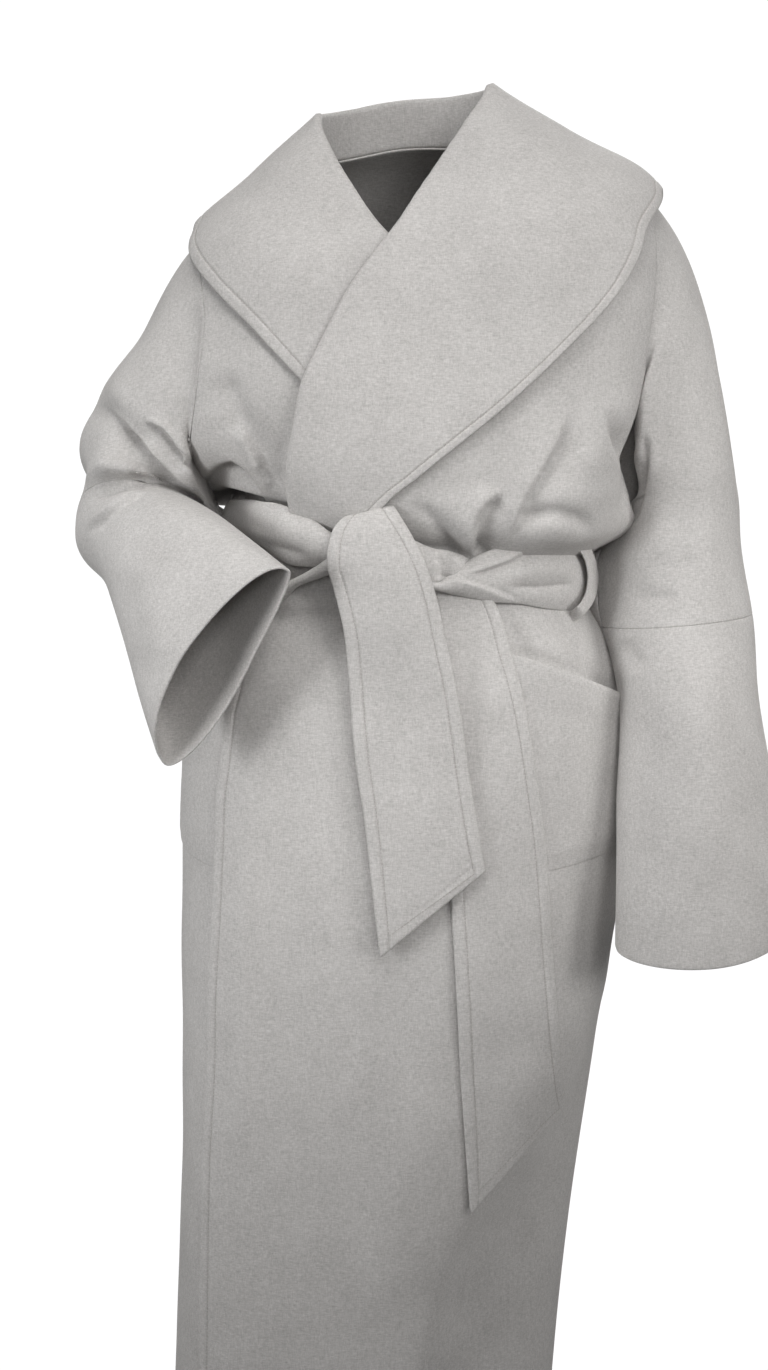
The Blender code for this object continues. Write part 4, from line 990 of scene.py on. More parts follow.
def thread_material():
    nt = THREAD.node_tree
    bsdf = nt.nodes["Principled BSDF"]
    bsdf.inputs["Roughness"].default_value = 0.7
    bsdf.inputs["Specular IOR Level"].default_value = 0.3
    co = nt.nodes.new("ShaderNodeTexCoord")
    n = nt.nodes.new("ShaderNodeTexNoise")
    n.inputs["Scale"].default_value = 1400.0
    n.inputs["Detail"].default_value = 2.0
    nt.links.new(co.outputs["Object"], n.inputs["Vector"])
    ramp = nt.nodes.new("ShaderNodeValToRGB")
    ramp.color_ramp.elements[0].color = (0.33, 0.315, 0.30, 1)
    ramp.color_ramp.elements[1].color = (0.47, 0.45, 0.43, 1)
    nt.links.new(n.outputs["Fac"], ramp.inputs["Fac"])
    nt.links.new(ramp.outputs["Color"], bsdf.inputs["Base Color"])


thread_material()


def grid(rows, cols):
    return np.meshgrid(np.asarray(rows, float), np.asarray(cols, float), indexing="ij")


# ---------------------------------------------------------------- body panels
def rows_down(parts):
    out = [parts[0][0]]
    for a, b, step in parts:
        out += list(np.linspace(a, b, max(2, int(round((b - a) / step)) + 1))[1:])
    return np.array(out)


ROWS = np.concatenate([
    rows_down(((0.0, ARM_S0, 0.0060),))[:-1],
    0.5 * (ARM_S0 + ARM_S1) - 0.5 * (ARM_S1 - ARM_S0) * (
        0.7 * np.cos(np.linspace(0, np.pi, 60)) + 0.3 * np.linspace(1, -1, 60)),
    rows_down(((ARM_S1, 0.55, 0.0034), (0.55, 0.62, 0.0045), (0.62, 0.90, 0.0070), (0.90, HEM_S, 0.0085)))[1:],
])
HALF_DEG = math.degrees(0.5 * WALL / 0.170)


# As worn, the front of the left armhole is drawn forward below its middle.
def drawn(side, psi):
    psi = np.asarray(psi, float) % 360.0
    return (6.5 if side > 0 else 0.0) * np.exp(-(((psi - 112.0) / 32.0) ** 2)) * np.clip(np.sin(np.radians(psi)), 0, 1)


cut_armhole, cut_edge = armhole, side_edge


def armhole(side, psi):
    phi, s = cut_armhole(side, psi)
    return phi - side * drawn(side, psi), s


def side_edge(s, side, back=False):
    t = np.clip((s - ARM_S0) / (ARM_S1 - ARM_S0), 0, 1) * 2 - 1
    return cut_edge(s, side, back) - (0.0 if back else side * drawn(side, np.degrees(np.arccos(-t))))


# Broad changes of the body's form. Per row: angle and cloth distance of the middle, how far
# the cloth stands out there, and the half widths of the place in degrees and metres.
BODY_MORE = (
    (-115.0, 0.396, 0.042, 24.0, 0.023),     # blousing under the right arm
    (69.0, 0.345, -0.014, 10.0, 0.050),      # hollow by the left arm
    (71.0, 0.235, -0.006, 9.0, 0.060),
    (-68.0, 0.270, 0.005, 11.0, 0.070),      # flush with the right sleeve
    (90.0, 0.570, 0.011, 24.0, 0.050),       # left hip
    (82.0, 0.725, 0.013, 20.0, 0.120),       # left hip, filled by the pocket
    (128.0, 0.415, 0.010, 20.0, 0.024),      # blousing, back
    (168.0, 0.410, 0.007, 18.0, 0.022),
    (-158.0, 0.412, 0.011, 17.0, 0.023),
)


# Creases of the back, drawn into the belt from above and hanging from it below.
BACK_FOLD = table((
    (150.0, 0.330, 158.0, 0.455, -0.008, 0.009),
    (176.0, 0.365, 181.0, 0.455, -0.007, 0.008),
    (193.0, 0.290, 187.0, 0.455, -0.008, 0.010),
    (226.0, 0.340, 219.0, 0.455, -0.008, 0.009),
    (120.0, 0.380, 129.0, 0.455, -0.006, 0.008),
    (156.0, 0.505, 152.0, 0.640, -0.005, 0.010),
    (188.0, 0.505, 190.0, 0.700, -0.005, 0.011),
    (206.0, 0.510, 212.0, 0.610, -0.004, 0.009),
    (128.0, 0.510, 124.0, 0.620, -0.004, 0.010),
    (232.0, 0.510, 238.0, 0.650, -0.005, 0.010),
), FOLD_COLS)


def body_more(phi, s):
    out = folds(BACK_FOLD, phi, s)
    for p, m, high, wide, tall in BODY_MORE:
        turn = (phi - p + 180.0) % 360.0 - 180.0
        out = out + high * np.exp(-((turn / wide) ** 2) - ((s - m) / tall) ** 2)
    turn = (phi + 180.0) % 360.0 - 180.0
    start = np.clip(44.0 - (s - 1.0) * 125.0, 8.0, 60.0)
    share = np.clip((turn - start) / (90.0 - start), 0, 1)
    out = out - 0.038 * ease(0.88, 1.14, s) * np.sin(np.pi * share) ** 2       # falls back, low on the left
    skirt = ease(0.54, 0.68, s)
    return out + 0.012 * skirt * np.exp(-(((turn + 55.0) / 20.0) ** 2))   # flat where the fronts lap


# The right side is drawn forward with the bent arm, by this much (metres).
BODY_PUSH = ((-80.0, 0.345, 16.0, 0.055, (0.0, -0.028, 0.0)),)


def body_push(phi, s):
    out = np.zeros(np.shape(phi) + (3,))
    for p, m, wide, tall, way in BODY_PUSH:
        turn = (phi - p + 180.0) % 360.0 - 180.0
        out = out + np.array(way) * np.exp(-((turn / wide) ** 2) - ((s - m) / tall) ** 2)[..., None]
    return out


def body_extra(PHI, S, seed):
    """Small folds and unevenness of the panels that the front grid doesn't reach."""
    wave = ripple(PHI * 0.0028, S, seed, 0.0009, 0.34, 0.10)
    calm = 0.35 + 0.65 * ease(0.05, 0.25, S)
    return wave * calm


def left_cloth(phi, s, lift=0.0):
    return left_front(phi, s, lift + body_more(phi, s))


def right_cloth(phi, s, lift=0.0):
    return right_front(phi, s, lift + body_more(phi, s)) + body_push(phi, s)


# Free edge of the left front below the belt, on the front grid.
LAP_EDGE = (
    (238, 660), (234, 679), (225, 712), (221, 752), (215, 799), (214, 834), (211, 920), (207, 1000),
    (206, 1070), (202, 1152), (200, 1244), (198, 1370), (197, 1420),
)


def lap_edge(s):
    """Angle of that edge."""
    x, y = np.array(LAP_EDGE, float).T
    phi = front_edge(1, s)
    for _ in range(12):
        gx, gy = seen(left_cloth(phi, s))
        ax, _ay = seen(left_cloth(phi + 0.5, s))
        phi = phi + np.clip((np.interp(gy, y, x) - gx) / np.maximum((ax - gx) / 0.5, 0.3), -4.0, 4.0)
    k = ease(0.56, 0.62, s)
    return front_edge(1, s) * (1 - k) + np.clip(phi, -80.0, -40.0) * k


SEAMS = {}               # how far the worn cloth lies off its plain form along the armholes


def keep_seam(side, half, s, worn, plain_form):
    inside = (s >= ARM_S0 - 1e-6) & (s <= ARM_S1 + 1e-6)
    SEAMS[side, half] = s[inside], (worn - plain_form)[inside]


def dress_panel(name, side, seed):
    s = ROWS
    edge = lap_edge(s) if side > 0 else front_edge(side, s)
    seam = side * (90.0 - HALF_DEG)
    hole = side_edge(s, side) - side * HALF_DEG - seam
    place = left_cloth if side > 0 else right_cloth
    S, U = grid(s, np.linspace(0, 1, 260))
    PHI = seam + (edge[:, None] - seam) * U
    base = place(PHI, S)
    even = respace(np.concatenate([base, PHI[..., None]], -1), 104 if side > 0 else 72, far=True)
    PH = even[..., 3]
    PH = PH + hole[:, None] * (1 - ease(0.0, 62.0, np.abs(PH - seam)))
    SS = np.broadcast_to(s[:, None], PH.shape)
    P = place(PH, SS)
    d = span(P[:, ::-1], 1)[:, ::-1]
    N = normals(P, body_normal(PH, SS))
    h = creases(name, P, N) + body_extra(PH, SS, seed)
    sewn = 1 - ease(0.0, 0.02, d[:, :1] - d + 0.004)
    h = h * (1 - sewn * (1 - ease(ARM_S0, ARM_S0 + 0.03, SS) * (1 - ease(ARM_S1 - 0.02, ARM_S1, SS))))
    h = h + topstitch(d, 0.0006, 0.0010) * ease(0.49, 0.52, SS)
    P = P + N * h[..., None]
    keep_seam(side, "front", s, P[:, 0], (left_front if side > 0 else right_front)(PH[:, 0], s))
    uv = np.stack([d, SS], -1)
    ob, N = shell(name + "_cloth", P, N, WALL, uv)
    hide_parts(name)
    declare(ob, P, np.median)
    low = SS[:, 0] > 0.50
    k = P.shape[1] - 1 - STITCH
    stitch_run(P[low, k], N[low, k])


dress_panel("front_left", 1, 11)
dress_panel("front_right", -1, 12)

S, U = grid(ROWS, np.linspace(0, 1, 92))
PHI = 90.0 + HALF_DEG + (180.0 - 2 * HALF_DEG) * U
PHI = PHI + (side_edge(S, 1, back=True) - 90.0) * (1 - ease(0.0, 62.0, PHI - 90.0))
PHI = PHI + (side_edge(S, -1, back=True) + 90.0) * (1 - ease(0.0, 62.0, 270.0 - PHI))
P = right_cloth(PHI, S)
N = normals(P, body_normal(PHI, S))
P = P + N * (body_extra(PHI, S, 13) * ease(0, 0.03, U) * ease(0, 0.03, 1 - U))[..., None]
keep_seam(1, "back", ROWS, P[:, 0], right_front(PHI[:, 0], ROWS))
keep_seam(-1, "back", ROWS, P[:, -1], right_front(PHI[:, -1], ROWS))
ob, _ = shell("back_cloth", P, N, WALL, np.stack([span(P, 1), S], -1))
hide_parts("back")
declare(ob, P, np.median)


# ---------------------------------------------------------------- collar
def dress_collar(name, side, seed):
    last = len(COLLAR[side]["s_r"]) - 1
    T, Q = grid(np.linspace(0.012, last, 214), np.linspace(0, 1, 420))
    base = collar(side, T, Q)
    core = 0.5 * (collar(side, T[:, :1], np.zeros((len(T), 1))) + collar(side, T[:, :1], np.full((len(T), 1), 0.6)))
    P = respace(base, 66, far=True)
    N = normals(P, P - core)
    d = span(P[:, ::-1], 1)[:, ::-1]
    along = span(P, 0)
    h = ripple(along, d, seed, 0.0009, 0.30, 0.10) + topstitch(d, 0.0004, 0.0008)
    P = P + N * h[..., None]
    ob, N = shell(name + "_cloth", P, N, DOUBLE, np.stack([along, d], -1))
    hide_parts(name)
    declare(ob, P)
    k = P.shape[1] - 1 - STITCH
    stitch_run(P[:, k], N[:, k])


COLLAR[1] = table(COLLAR_LEFT + ((-49.5, 0.470, 0.0085, -37.0, 0.468, 0.0080),), COLLAR_COLS)   # on under the belt
dress_collar("collar_left", 1, 21)
dress_collar("collar_right", -1, 22)


# ---------------------------------------------------------------- sleeves
# Further folds of the sleeves, in the columns of SLEEVE_FOLDS.
SLEEVE_MORE = {
    1: (
        (207.0, 1.15, 205.0, 2.35, 0.018, 0.034),
        (178.0, 2.15, 180.0, 5.70, 0.003, 0.060),
        (150.0, 0.75, 158.0, 1.75, 0.014, 0.040),
        (60.0, 0.55, 20.0, 1.30, 0.004, 0.020),
        (300.0, 0.50, 322.0, 1.90, -0.006, 0.018),
        (270.0, 0.70, 262.0, 2.10, 0.007, 0.022),
        (330.0, 2.30, 300.0, 2.70, -0.006, 0.014),
        (250.0, 2.55, 300.0, 2.95, -0.005, 0.013),
        (285.0, 3.10, 278.0, 5.30, 0.006, 0.026),
        (320.0, 3.20, 322.0, 5.30, -0.005, 0.022),
    ),
    -1: (
        (-26.0, 1.60, 46.0, 1.62, -0.014, 0.0120),
        (-32.0, 1.31, 40.0, 1.33, 0.006, 0.016),
        (-32.0, 2.14, 50.0, 2.16, 0.004, 0.022),
        (62.0, 1.58, 128.0, 1.56, 0.007, 0.013),
        (40.0, 1.28, 104.0, 1.26, -0.005, 0.020),
        (145.0, 0.40, 150.0, 1.20, 0.014, 0.035),
        (-4.0, 0.30, 4.0, 0.86, -0.016, 0.050),
        (197.0, 0.42, 205.0, 1.50, 0.030, 0.042),
        (262.0, 1.20, 330.0, 1.52, -0.009, 0.013),
        (240.0, 1.50, 318.0, 1.86, -0.007, 0.012),
        (286.0, 0.40, 300.0, 1.10, 0.006, 0.022),
        (300.0, 2.40, 290.0, 3.90, -0.005, 0.020),
        (312.0, 3.60, 312.0, 5.20, 0.014, 0.038),
    ),
}


# Where the sleeve rolls over towards the front of the body: angle and distance of the middle,
# their half widths, and how far the cloth moves (metres).
SLEEVE_PUSH = {
    1: (
        (135.0, 0.55, 36.0, 0.42, (-0.027, -0.024, 0.0)),
        (98.0, 0.22, 34.0, 0.25, (-0.005, -0.009, 0.0)),
        (128.0, 0.42, 34.0, 0.34, (-0.011, -0.004, 0.0)),
        (150.0, 1.00, 38.0, 0.28, (-0.013, -0.003, 0.0)),
    ),
    -1: ((146.0, 0.50, 30.0, 0.45, (0.0, -0.018, 0.0)), (186.0, 0.60, 32.0, 0.50, (0.018, -0.004, 0.0))),
}


def push(side, v, psi):
    out = np.zeros(np.shape(v) + (3,))
    for p, m, wide, long_, way in SLEEVE_PUSH[side]:
        turn = (psi - p + 180.0) % 360.0 - 180.0
        out = out + np.array(way) * (np.exp(-((turn / wide) ** 2) - ((v - m) / long_) ** 2) * ease(0.0, 0.2, v))[..., None]
    return out


def more_folds(side, v, psi):
    table_ = table(SLEEVE_MORE[side], SLEEVE_FOLD_COLS)
    kept = SLEEVE_FOLD[side]
    SLEEVE_FOLD[side] = table_
    out = sleeve_folds(side, v, psi)
    SLEEVE_FOLD[side] = kept
    return out


def dress_sleeve(side, word, seed):
    elbow, cuff = elbow_v(side), cuff_v(side)
    gap = 0.5 * WALL
    for turn, half in ((0.0, "front"), (180.0, "back")):
        psi = np.linspace(turn, turn + 180.0, 74 if half == "front" else 54)
        psi[0] += 1.0
        psi[-1] -= 1.0
        for name, v0, v1, count in (
            (f"sleeve_{word}_upper_{half}", 0.0, elbow - 0.0110, 130),
            (f"sleeve_{word}_lower_{half}", elbow + 0.0110, cuff, 96),
        ):
            V, PSI = grid(np.linspace(v0, v1, count), psi)
            if v1 == cuff and side > 0:
                rise = 0.05 + 0.09 * np.exp(-((((PSI - 25.0 + 180.0) % 360.0) - 180.0) / 42.0) ** 2)
                V = V - rise * (V - v0) / (v1 - v0)
            if v0 == 0.0:
                reach = np.linalg.norm(sleeve(side, np.ones_like(V), PSI) - sleeve(side, np.zeros_like(V), PSI), axis=-1)
                V = np.maximum(V, 0) + (1 - np.clip(V, 0, 1)) * gap / np.maximum(reach, 0.03)
            P = sleeve(side, V, PSI)
            core = 0.5 * (P + sleeve(side, V, PSI + 180.0))
            N = normals(P, P - core)
            out = unit(P - core)
            P = P + out * more_folds(side, V, PSI)[..., None] + push(side, V, PSI)
            at, off = SEAMS[side, half]
            down = armhole(side, PSI)[1]
            off = np.stack([np.interp(down, at, off[:, k]) for k in range(3)], -1)
            P = P + off * (1 - ease(0.0, 0.35, V))[..., None]
            N = normals(P, out)
            h = creases(name, P, N) * ease(0.0, 0.12, V)
            if side < 0:
                h = h * (1 - ease(136.0, 158.0, PSI))
            wave = ripple(PSI * 0.0011, V * 0.1, seed, 0.0012, 0.22, 0.07)
            h = h + wave * ease(0.0, 0.25, V) * ease(0.0, 10.0, PSI - turn) * ease(0.0, 10.0, turn + 180.0 - PSI)
            P = P + N * h[..., None]
            ob, _ = shell(name + "_cloth", P, N, WALL, np.stack([span(P, 1), span(P, 0)], -1), inside=WOOL_PAINTED_SHADE_INSIDE)
            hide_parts(name)
            declare(ob, P)


dress_sleeve(1, "left", 31)
dress_sleeve(-1, "right", 33)


# ---------------------------------------------------------------- patch pockets
def dress_pocket(name, side, seed):
    U, V = grid(np.linspace(0, 1, 60), np.linspace(0, 1, 70))
    p0, p1 = POCKET["phi"][side]
    phi = p0 + (p1 - p0) * U
    m0, m1 = POCKET["mouth"][side]
    top = m0 + (m1 - m0) * U**1.2
    foot = POCKET["foot"] - 0.028 * U**1.4 - 0.008 * (np.abs(2 * U - 1) ** 8)
    s = top + (foot - top) * V
    sewn = ease(0.0, 0.14, U) * ease(0.0, 0.14, 1 - U) * ease(0.0, 0.10, 1 - V)
    lift = 0.0016 + 0.0034 * sewn * (0.55 + 0.45 * (1 - V) ** 2) + ripple(phi * 0.0028, s, seed, 0.0006, 0.2, 0.08) * sewn
    lift = lift + 0.0055 * (1 - ease(0.0, 0.26, V)) * (4 * U * (1 - U)) ** 0.5
    P = left_cloth(phi, s, lift) if side > 0 else right_cloth(-phi, s, lift)
    N = normals(P, P * np.array([1.0, 1.0, 0.0]))
    d = (s - top) * 1.0
    P = P + N * topstitch(d, 0.0002, 0.0004)[..., None]
    ob, N = shell(name + "_cloth", P, N, WALL, np.stack([span(P, 0), span(P, 1)], -1))
    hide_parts(name)
    declare(ob, P)


dress_pocket("pocket_left", 1, 41)
dress_pocket("pocket_right", -1, 42)


# ---------------------------------------------------------------- belt
def waist(phi, z, lift=0.0):
    """Upright surface that the band lies on."""
    phi, z = np.broadcast_arrays(np.asarray(phi, float), np.asarray(z, float))
    s = np.full_like(phi, BELT_S)
    way = unit(body_normal(phi, s) * np.array([1.0, 1.0, 0.0]))
    wrapped = (phi + 180.0) % 360.0 - 180.0
    P = body(phi, s) + way * (lap(wrapped, s) + belt_lift(wrapped) + DOUBLE + lift)[..., None]
    P[..., 2] = z
    return P


def on_waist(gx, gy, lift):
    gx, gy = np.asarray(gx, float), np.asarray(gy, float)
    return settle(lambda a, b: waist(a, b, lift), gx, gy, (gx - 384) * 0.33, -0.37, 0.4, 0.002)


# Stretches of the belt across the front. Per section: grid column, upper and lower edge, and
# how far it stands off the band's own place.
BAND_RIGHT = (
    (408, 574, 588, 0.002), (424, 580, 589, 0.004), (438, 583, 591, 0.006), (455, 572, 595, 0.006), (476, 559, 599, 0.005), (495, 551, 602, 0.004),
    (521, 546, 603, 0.002), (545, 546, 607, 0.001), (572, 547, 610, 0.0), (590, 548, 611, 0.0),
)
BAND_LEFT = (
    (240, 500, 538, -0.002), (254, 503, 547, 0.002), (268, 504, 556, 0.006), (282, 508, 563, 0.010),
    (307, 519, 566, 0.012), (330, 534, 567, 0.011), (350, 541, 568, 0.008),
)
BAND_UNDER = (
    (400, 527, 576, 0.004), (414, 540, 584, 0.004), (438, 550, 588, 0.003), (450, 551, 588, 0.001),
    (465, 556, 587, -0.002), (478, 561, 586, -0.005), (496, 566, 585, -0.008),
)
BAND_TURN = (
    (262, 592, 612, 0.001), (280, 584, 600, 0.006), (294, 577, 588, 0.010), (309, 568, 582, 0.013),
    (326, 558, 576, 0.014), (342, 552, 572, 0.010),
)


def band_rows(rows):
    x, a, b, lift = np.array(rows, float).T
    return on_waist(x, a, lift), on_waist(x, b, lift)


def smooth_rows(A, count):
    """More sections through the given ones, evenly spaced."""
    k = np.concatenate([[0.0], np.cumsum(np.linalg.norm(np.diff(A, axis=0), axis=1))])
    k = k / k[-1]
    q = np.linspace(0, 1, count)
    return np.stack([flow(k, A[:, i], q) for i in range(3)], -1)


def dress_band(name, up, low, count, bulge, thick, seed, nodes=(), stitch=(), held="folded"):
    mid = 0.5 * (up + low)
    up, low, mid = (smooth_rows(A, count) for A in (up, low, mid))
    u = np.linspace(0, 1, 44)
    P = up[:, None] * (1 - u)[None, :, None] + low[:, None] * u[None, :, None]
    axis = unit(np.gradient(mid, axis=0))
    drop = unit(low - up)
    way = unit(np.cross(axis, drop))
    centre = mid - np.array([0.01, 0.0, 0.0])
    way = way * np.where(np.einsum("ij,ij->i", way, centre * np.array([1, 1, 0])) < 0, -1, 1)[:, None]
    tall = np.linalg.norm(low - up, axis=1)
    arch = (1 - np.abs(2 * u - 1) ** 2.6)
    P = P + way[:, None] * (np.minimum(bulge, 0.35 * tall)[:, None] * (arch - 1)[None])[..., None]
    N = normals(P, np.broadcast_to(way[:, None], P.shape))
    along = span(P, 0)
    across = span(P, 1)
    h = creases(name, P, N) + ripple(along, across, seed, 0.0008, 0.12, 0.05)
    P = P + N * h[..., None]
    ob, N = shell(name + "_cloth", P, N, thick, np.stack([along, across], -1))
    for n in nodes:
        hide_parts(n)
    declare(ob, P)
    return P, N


ru, rl = band_rows(BAND_RIGHT)
lu, ll = band_rows(BAND_LEFT)
ring = np.linspace(84.0, 278.0, 22)
top_z = flow([0, 0.5, 1], [ru[-1][2], -0.333, lu[0][2]], np.linspace(0, 1, 24))[1:-1]
low_z = flow([0, 0.5, 1], [rl[-1][2], -0.391, ll[0][2]], np.linspace(0, 1, 24))[1:-1]
up = np.concatenate([ru, waist(ring, top_z), lu])
low = np.concatenate([rl, waist(ring, low_z), ll])
dress_band("belt_band", up, low, 330, 0.0075, DOUBLE, 51, ("belt_band",))
dress_band("belt_under", *band_rows(BAND_UNDER), 60, 0.0070, DOUBLE, 52)
dress_band("belt_turn", *band_rows(BAND_TURN), 50, 0.0050, DOUBLE * 0.8, 53)

# Belt ends. Per section: left edge, right edge, depth of the left and right edge (their Y)
# or, with None, the height over the left front, and how far the middle is rounded out.
ENDS = {
    "belt_end_front": (
        (356, 552, 396, 546, -0.148, -0.148, 0.002),
        (350, 530, 393, 519, -0.151, -0.151, 0.003),
        (345, 517, 392, 505, -0.160, -0.160, 0.006),
        (335, 527, 402, 520, -0.170, -0.169, 0.007),
        (329, 547, 415, 543, -0.174, -0.172, 0.008),
        (328, 568, 427, 570, -0.175, -0.172, 0.008),
        (334, 588, 435, 596, -0.174, -0.171, 0.007),
        (344, 627, 443, 632, -0.172, -0.168, 0.006),
        (350, 675, 455, 688, None, 0.021, 0.0),
        (357, 760, 466, 758, None, 0.015, 0.0),
        (366, 822, 473, 806, None, 0.013, 0.0),
        (375, 903, 481, 852, None, 0.013, 0.0),
        (381, 955, 485, 871, None, 0.013, 0.0),
    ),
    "belt_end_back": (
        (424, 584, 487, 590, None, 0.010, 0.0),
        (428, 610, 498, 612, None, 0.008, 0.0),
        (431, 650, 509, 650, None, 0.007, 0.0),
        (434, 710, 525, 710, None, 0.0065, 0.0),
        (440, 770, 535, 770, None, 0.006, 0.0),
        (449, 850, 545, 847, None, 0.006, 0.0),
        (455, 930, 551, 924, None, 0.006, 0.0),
        (461, 1040, 559, 1031, None, 0.006, 0.0),
        (466, 1121, 563, 1075, None, 0.006, 0.0),
        (472, 1212, 566, 1106, None, 0.006, 0.0),
    ),
}


def dress_end(name, seed, nodes, sink):
    u = np.linspace(0, 1, 13)
    E = ENDS[name]
    lx, ly, rx, ry = np.array([row[:4] for row in E], float).T[..., None]
    gx, gy = lx + (rx - lx) * u, ly + (ry - ly) * u
    free = np.array([row[4] is not None for row in E])
    near = np.array([0.0 if row[4] is None else row[4] for row in E])[:, None]
    far = np.array([row[5] for row in E], float)[:, None]
    lift = np.broadcast_to(np.where(free[:, None], 0.013, far), gx.shape)
    z = -0.25 - (gy - 435) * STEP * 0.98
    laid = settle(lambda p, s: left_cloth(p, s, lift), gx, gy, (gx - 384) * 0.30, np.interp(-z, -RING["zf"], RING["s"]), 0.4, 0.002)
    hung = sight(gx, gy, near + (far - near) * u)
    hung = hung + np.array([0.0, -1.0, 0.0]) * (np.array([row[6] for row in E])[:, None] * 4 * u * (1 - u))[..., None]
    A = np.where(free[:, None, None], hung, laid)
    mid = A[:, 6]
    k = np.concatenate([[0.0], np.cumsum(np.linalg.norm(np.diff(mid, axis=0), axis=1))])
    k = k / k[-1]
    q = np.linspace(0, 1, 170)
    dense = np.stack([np.stack([flow(k, A[:, j, i], q) for i in range(3)], -1) for j in range(13)], 1)
    uu = np.linspace(0, 1, 200)
    dense = np.stack([np.stack([flow(u, row[:, i], uu) for i in range(3)], -1) for row in dense])
    P = respace(dense, 26, near=True, far=True)
    N = normals(P, np.broadcast_to(np.array([0.0, -1.0, 0.0]), P.shape))
    across = span(P, 1)
    far = across[:, -1:] - across
    along = span(P, 0)
    tail = along[-1] - along
    d = np.minimum(across, far)
    h = topstitch(d, 0.0004, sink) + creases(name, P, N) + ripple(along, across, seed, 0.0009, 0.16, 0.06)
    h = h - sink * np.exp(-(((tail - 0.0105) / 0.0012) ** 2)) * (d > 0.0105)
    P = P + N * h[..., None]
    ob, N = shell(name + "_cloth", P, N, DOUBLE, np.stack([across, along], -1))
    for n in nodes:
        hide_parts(n)
    declare(ob, P)
    ends = tail[:, 0] > 0.0105
    for col in (STITCH, P.shape[1] - 1 - STITCH):
        stitch_run(P[ends, col], N[ends, col])
    i = int(np.argmin(np.abs(tail[:, 20] - 0.0105)))
    stitch_run(P[i, STITCH:P.shape[1] - STITCH], N[i, STITCH:P.shape[1] - STITCH])


dress_end("belt_end_front", 61, ("belt_end_front",), 0.0009)
dress_end("belt_end_back", 62, ("belt_end_back",), 0.0005)


# ---------------------------------------------------------------- belt loops
LOOP_PATH = ((583, 546), (588, 553), (592, 563), (594, 579), (591, 596), (584, 608), (575, 615), (566, 618))


def dress_loop(name, side):
    V, U = grid(np.linspace(0, 1, 60), np.linspace(-1, 1, 12))
    if side > 0:
        k = np.linspace(0, 1, len(LOOP_PATH))
        gx, gy = (flow(k, np.array(LOOP_PATH, float)[:, i], V[:, 0]) for i in (0, 1))
        tx, ty = np.gradient(gx), np.gradient(gy)
        size = np.hypot(tx, ty)
        gx = gx[:, None] - (ty / size)[:, None] * U * 4.6
        gy = gy[:, None] + (tx / size)[:, None] * U * 4.6
        phi = np.linspace(30.0, 84.0, 60)
        rim = waist(phi, np.full_like(phi, -0.37), 0.004)
        col, _row = seen(rim)
        top = int(np.argmax(col))
        deep = np.interp(gx, col[:top + 1], rim[:top + 1, 1])
        z = -0.25 - (gy - 435) * STEP * 0.98
        under = settle(lambda p, s: left_cloth(p, s, -0.004), gx, gy, (gx - 384) * 0.33, np.interp(-z, -RING["zf"], RING["s"]), 0.4, 0.002)
        k = ease(0.74, 1.0, V)
        deep = deep * (1 - k) + under[..., 1] * k
        P = sight(gx, gy, deep - 0.006 * np.sin(np.pi * V) ** 0.6 - 0.0012 * (1 - U**2))
        way = np.broadcast_to(unit(np.array([0.45, -0.9, 0.0])), P.shape)
    else:
        phi = LOOP_PHI[side] + U * math.degrees(LOOP_HALF / 0.165) * 0.9
        P = waist(phi, np.zeros_like(phi))
        way = unit(body_normal(phi, np.full_like(phi, BELT_S)) * np.array([1.0, 1.0, 0.0]))
        bow = np.sin(np.pi * np.clip(V, 0, 1)) ** 0.55
        P = P + way * (-0.008 + 0.016 * bow + 0.0012 * (1 - U**2))[..., None]
        mid = body(phi, np.full_like(phi, BELT_S))[..., 2]
        P[..., 2] = mid + 0.030 - 0.070 * V
    N = normals(P, way)
    ob, _ = shell(name + "_cloth", P, N, 0.0022, np.stack([span(P, 1), span(P, 0)], -1))
    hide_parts(name)
    declare(ob, P)


dress_loop("belt_loop_left", 1)
dress_loop("belt_loop_right", -1)

make_stitches("topstitching")


# ---------------------------------------------------------------- floor, light, camera
def plain(name, colour, rough):
    mat = bpy.data.materials.new(name)
    mat.use_nodes = True
    bsdf = mat.node_tree.nodes["Principled BSDF"]
    bsdf.inputs["Base Color"].default_value = (*colour, 1)
    bsdf.inputs["Roughness"].default_value = rough
    return mat


def floor():
    n = 96
    a = np.arange(n) * math.tau / n
    mesh = bpy.data.meshes.new("floor")
    mesh.from_pydata([(0.66 * math.cos(t), 0.66 * math.sin(t), -1.42) for t in a], [], [tuple(range(n))])
    ob = bpy.data.objects.new("floor", mesh)
    bpy.context.scene.collection.objects.link(ob)
    mesh.materials.append(plain("floor_pale", (0.86, 0.86, 0.86), 0.8))


def softbox(name, place, aim, size, power, spread, colour=(1, 1, 1)):
    data = bpy.data.lights.new(name, "AREA")
    data.shape = "RECTANGLE"
    data.size, data.size_y = size
    data.energy = power
    data.color = colour
    data.spread = math.radians(spread)
    ob = bpy.data.objects.new(name, data)
    bpy.context.scene.collection.objects.link(ob)
    ob.location = place
    ob.rotation_mode = "QUATERNION"
    ob.rotation_quaternion = (Vector(aim) - Vector(place)).to_track_quat("-Z", "Y")


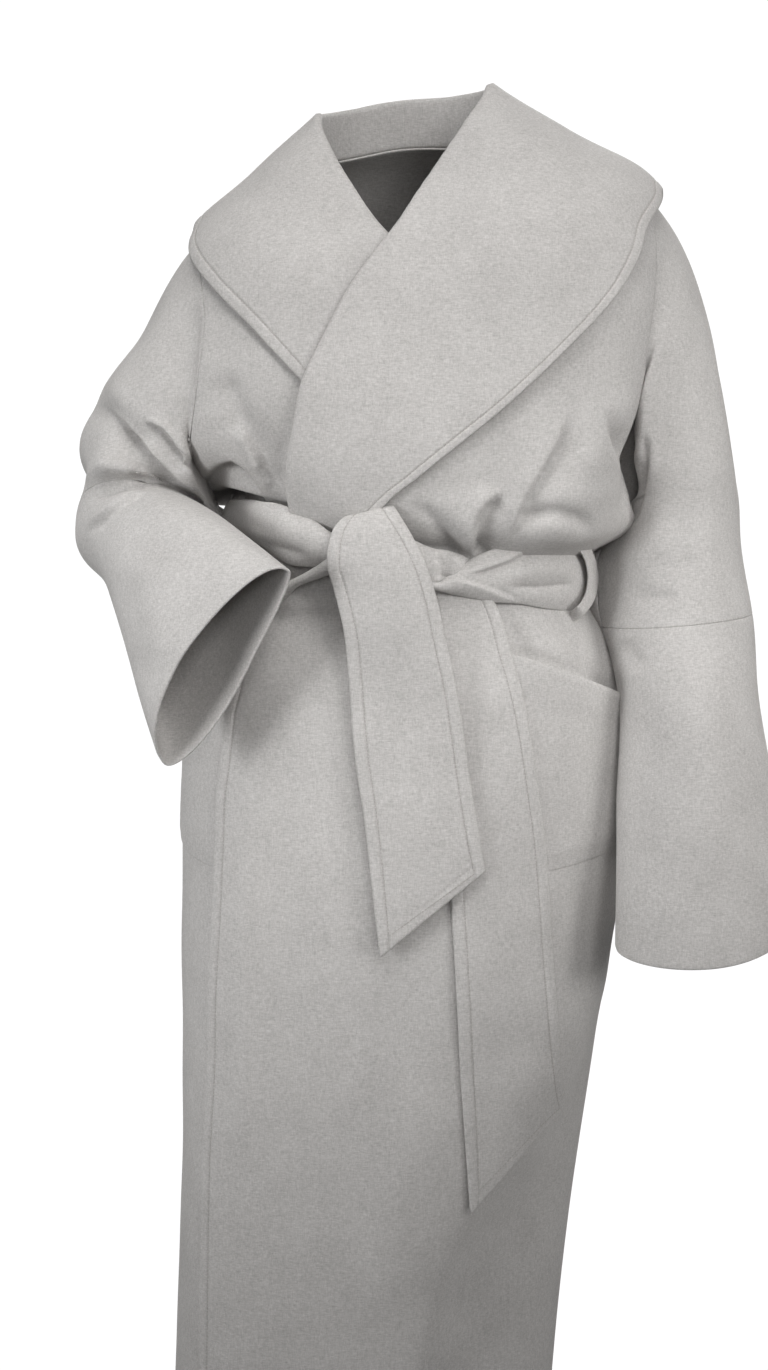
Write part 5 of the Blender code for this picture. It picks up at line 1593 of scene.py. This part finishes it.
def room(above, below, seen_as):
    """Plain studio surround: soft light from above and less from below, seen as white."""
    world = bpy.data.worlds.new("studio")
    world.use_nodes = True
    bpy.context.scene.world = world
    nt = world.node_tree
    nt.nodes.clear()
    out = nt.nodes.new("ShaderNodeOutputWorld")
    soft, white = nt.nodes.new("ShaderNodeBackground"), nt.nodes.new("ShaderNodeBackground")
    co, split, ramp = nt.nodes.new("ShaderNodeTexCoord"), nt.nodes.new("ShaderNodeSeparateXYZ"), nt.nodes.new("ShaderNodeMapRange")
    nt.links.new(co.outputs["Generated"], split.inputs[0])
    nt.links.new(split.outputs["Z"], ramp.inputs["Value"])
    ramp.inputs["From Min"].default_value = -0.45
    ramp.inputs["From Max"].default_value = 0.45
    ramp.inputs["To Min"].default_value = below
    ramp.inputs["To Max"].default_value = above
    nt.links.new(ramp.outputs["Result"], soft.inputs["Strength"])
    soft.inputs["Color"].default_value = (1, 1, 1, 1)
    white.inputs["Color"].default_value = (1, 1, 1, 1)
    white.inputs["Strength"].default_value = seen_as
    path, mix = nt.nodes.new("ShaderNodeLightPath"), nt.nodes.new("ShaderNodeMixShader")
    nt.links.new(path.outputs["Is Camera Ray"], mix.inputs[0])
    nt.links.new(soft.outputs[0], mix.inputs[1])
    nt.links.new(white.outputs[0], mix.inputs[2])
    nt.links.new(mix.outputs[0], out.inputs["Surface"])


floor()
room(0.28, 0.05, 1.05)
softbox("left", (-1.90, -1.30, -0.40), (-0.20, 0.0, -0.55), (0.8, 0.8), 1.97, 40.0, (0.985, 0.995, 1.0))
softbox("over", (-0.30, -1.00, 1.70), (-0.05, 0.0, -0.20), (1.0, 1.0), 2.30, 50.0, (1.0, 0.992, 0.98))
softbox("second", (1.00, -2.00, 0.50), (0.10, 0.0, -0.22), (0.8, 0.8), 1.08, 44.0, (1.0, 0.992, 0.98))
softbox("high", (0.90, -1.60, 1.10), (0.10, 0.0, -0.25), (0.8, 0.8), 0.45, 44.0, (1.0, 0.990, 0.975))
softbox("right", (2.00, -1.20, -0.10), (0.22, 0.0, -0.48), (0.8, 0.8), 1.05, 32.0, (1.0, 0.992, 0.98))
softbox("front", (0.0, -2.40, -0.20), (-0.03, 0.0, -0.72), (0.8, 0.8), 0.12, 36.0, (1.0, 0.998, 0.995))
softbox("belt", (-0.10, -2.30, -0.10), (0.0, 0.0, -0.48), (0.5, 0.5), 0.10, 17.0, (1.0, 0.998, 0.995))
softbox("behind", (0.30, 2.40, 0.70), (0.0, 0.1, -0.50), (1.4, 1.4), 8.0, 60.0)

cam = bpy.data.cameras.new("camera")
cam.lens = 67.565
cam.sensor_width = 36.0
cam.clip_end = 50.0
cam_ob = bpy.data.objects.new("camera", cam)
bpy.context.scene.collection.objects.link(cam_ob)
cam_ob.location = Vector(EYE)
cam_ob.rotation_mode = "QUATERNION"
cam_ob.rotation_quaternion = Vector(AIM - EYE).to_track_quat("-Z", "Y")
bpy.context.scene.camera = cam_ob
bpy.context.scene.view_settings.view_transform = "Standard"
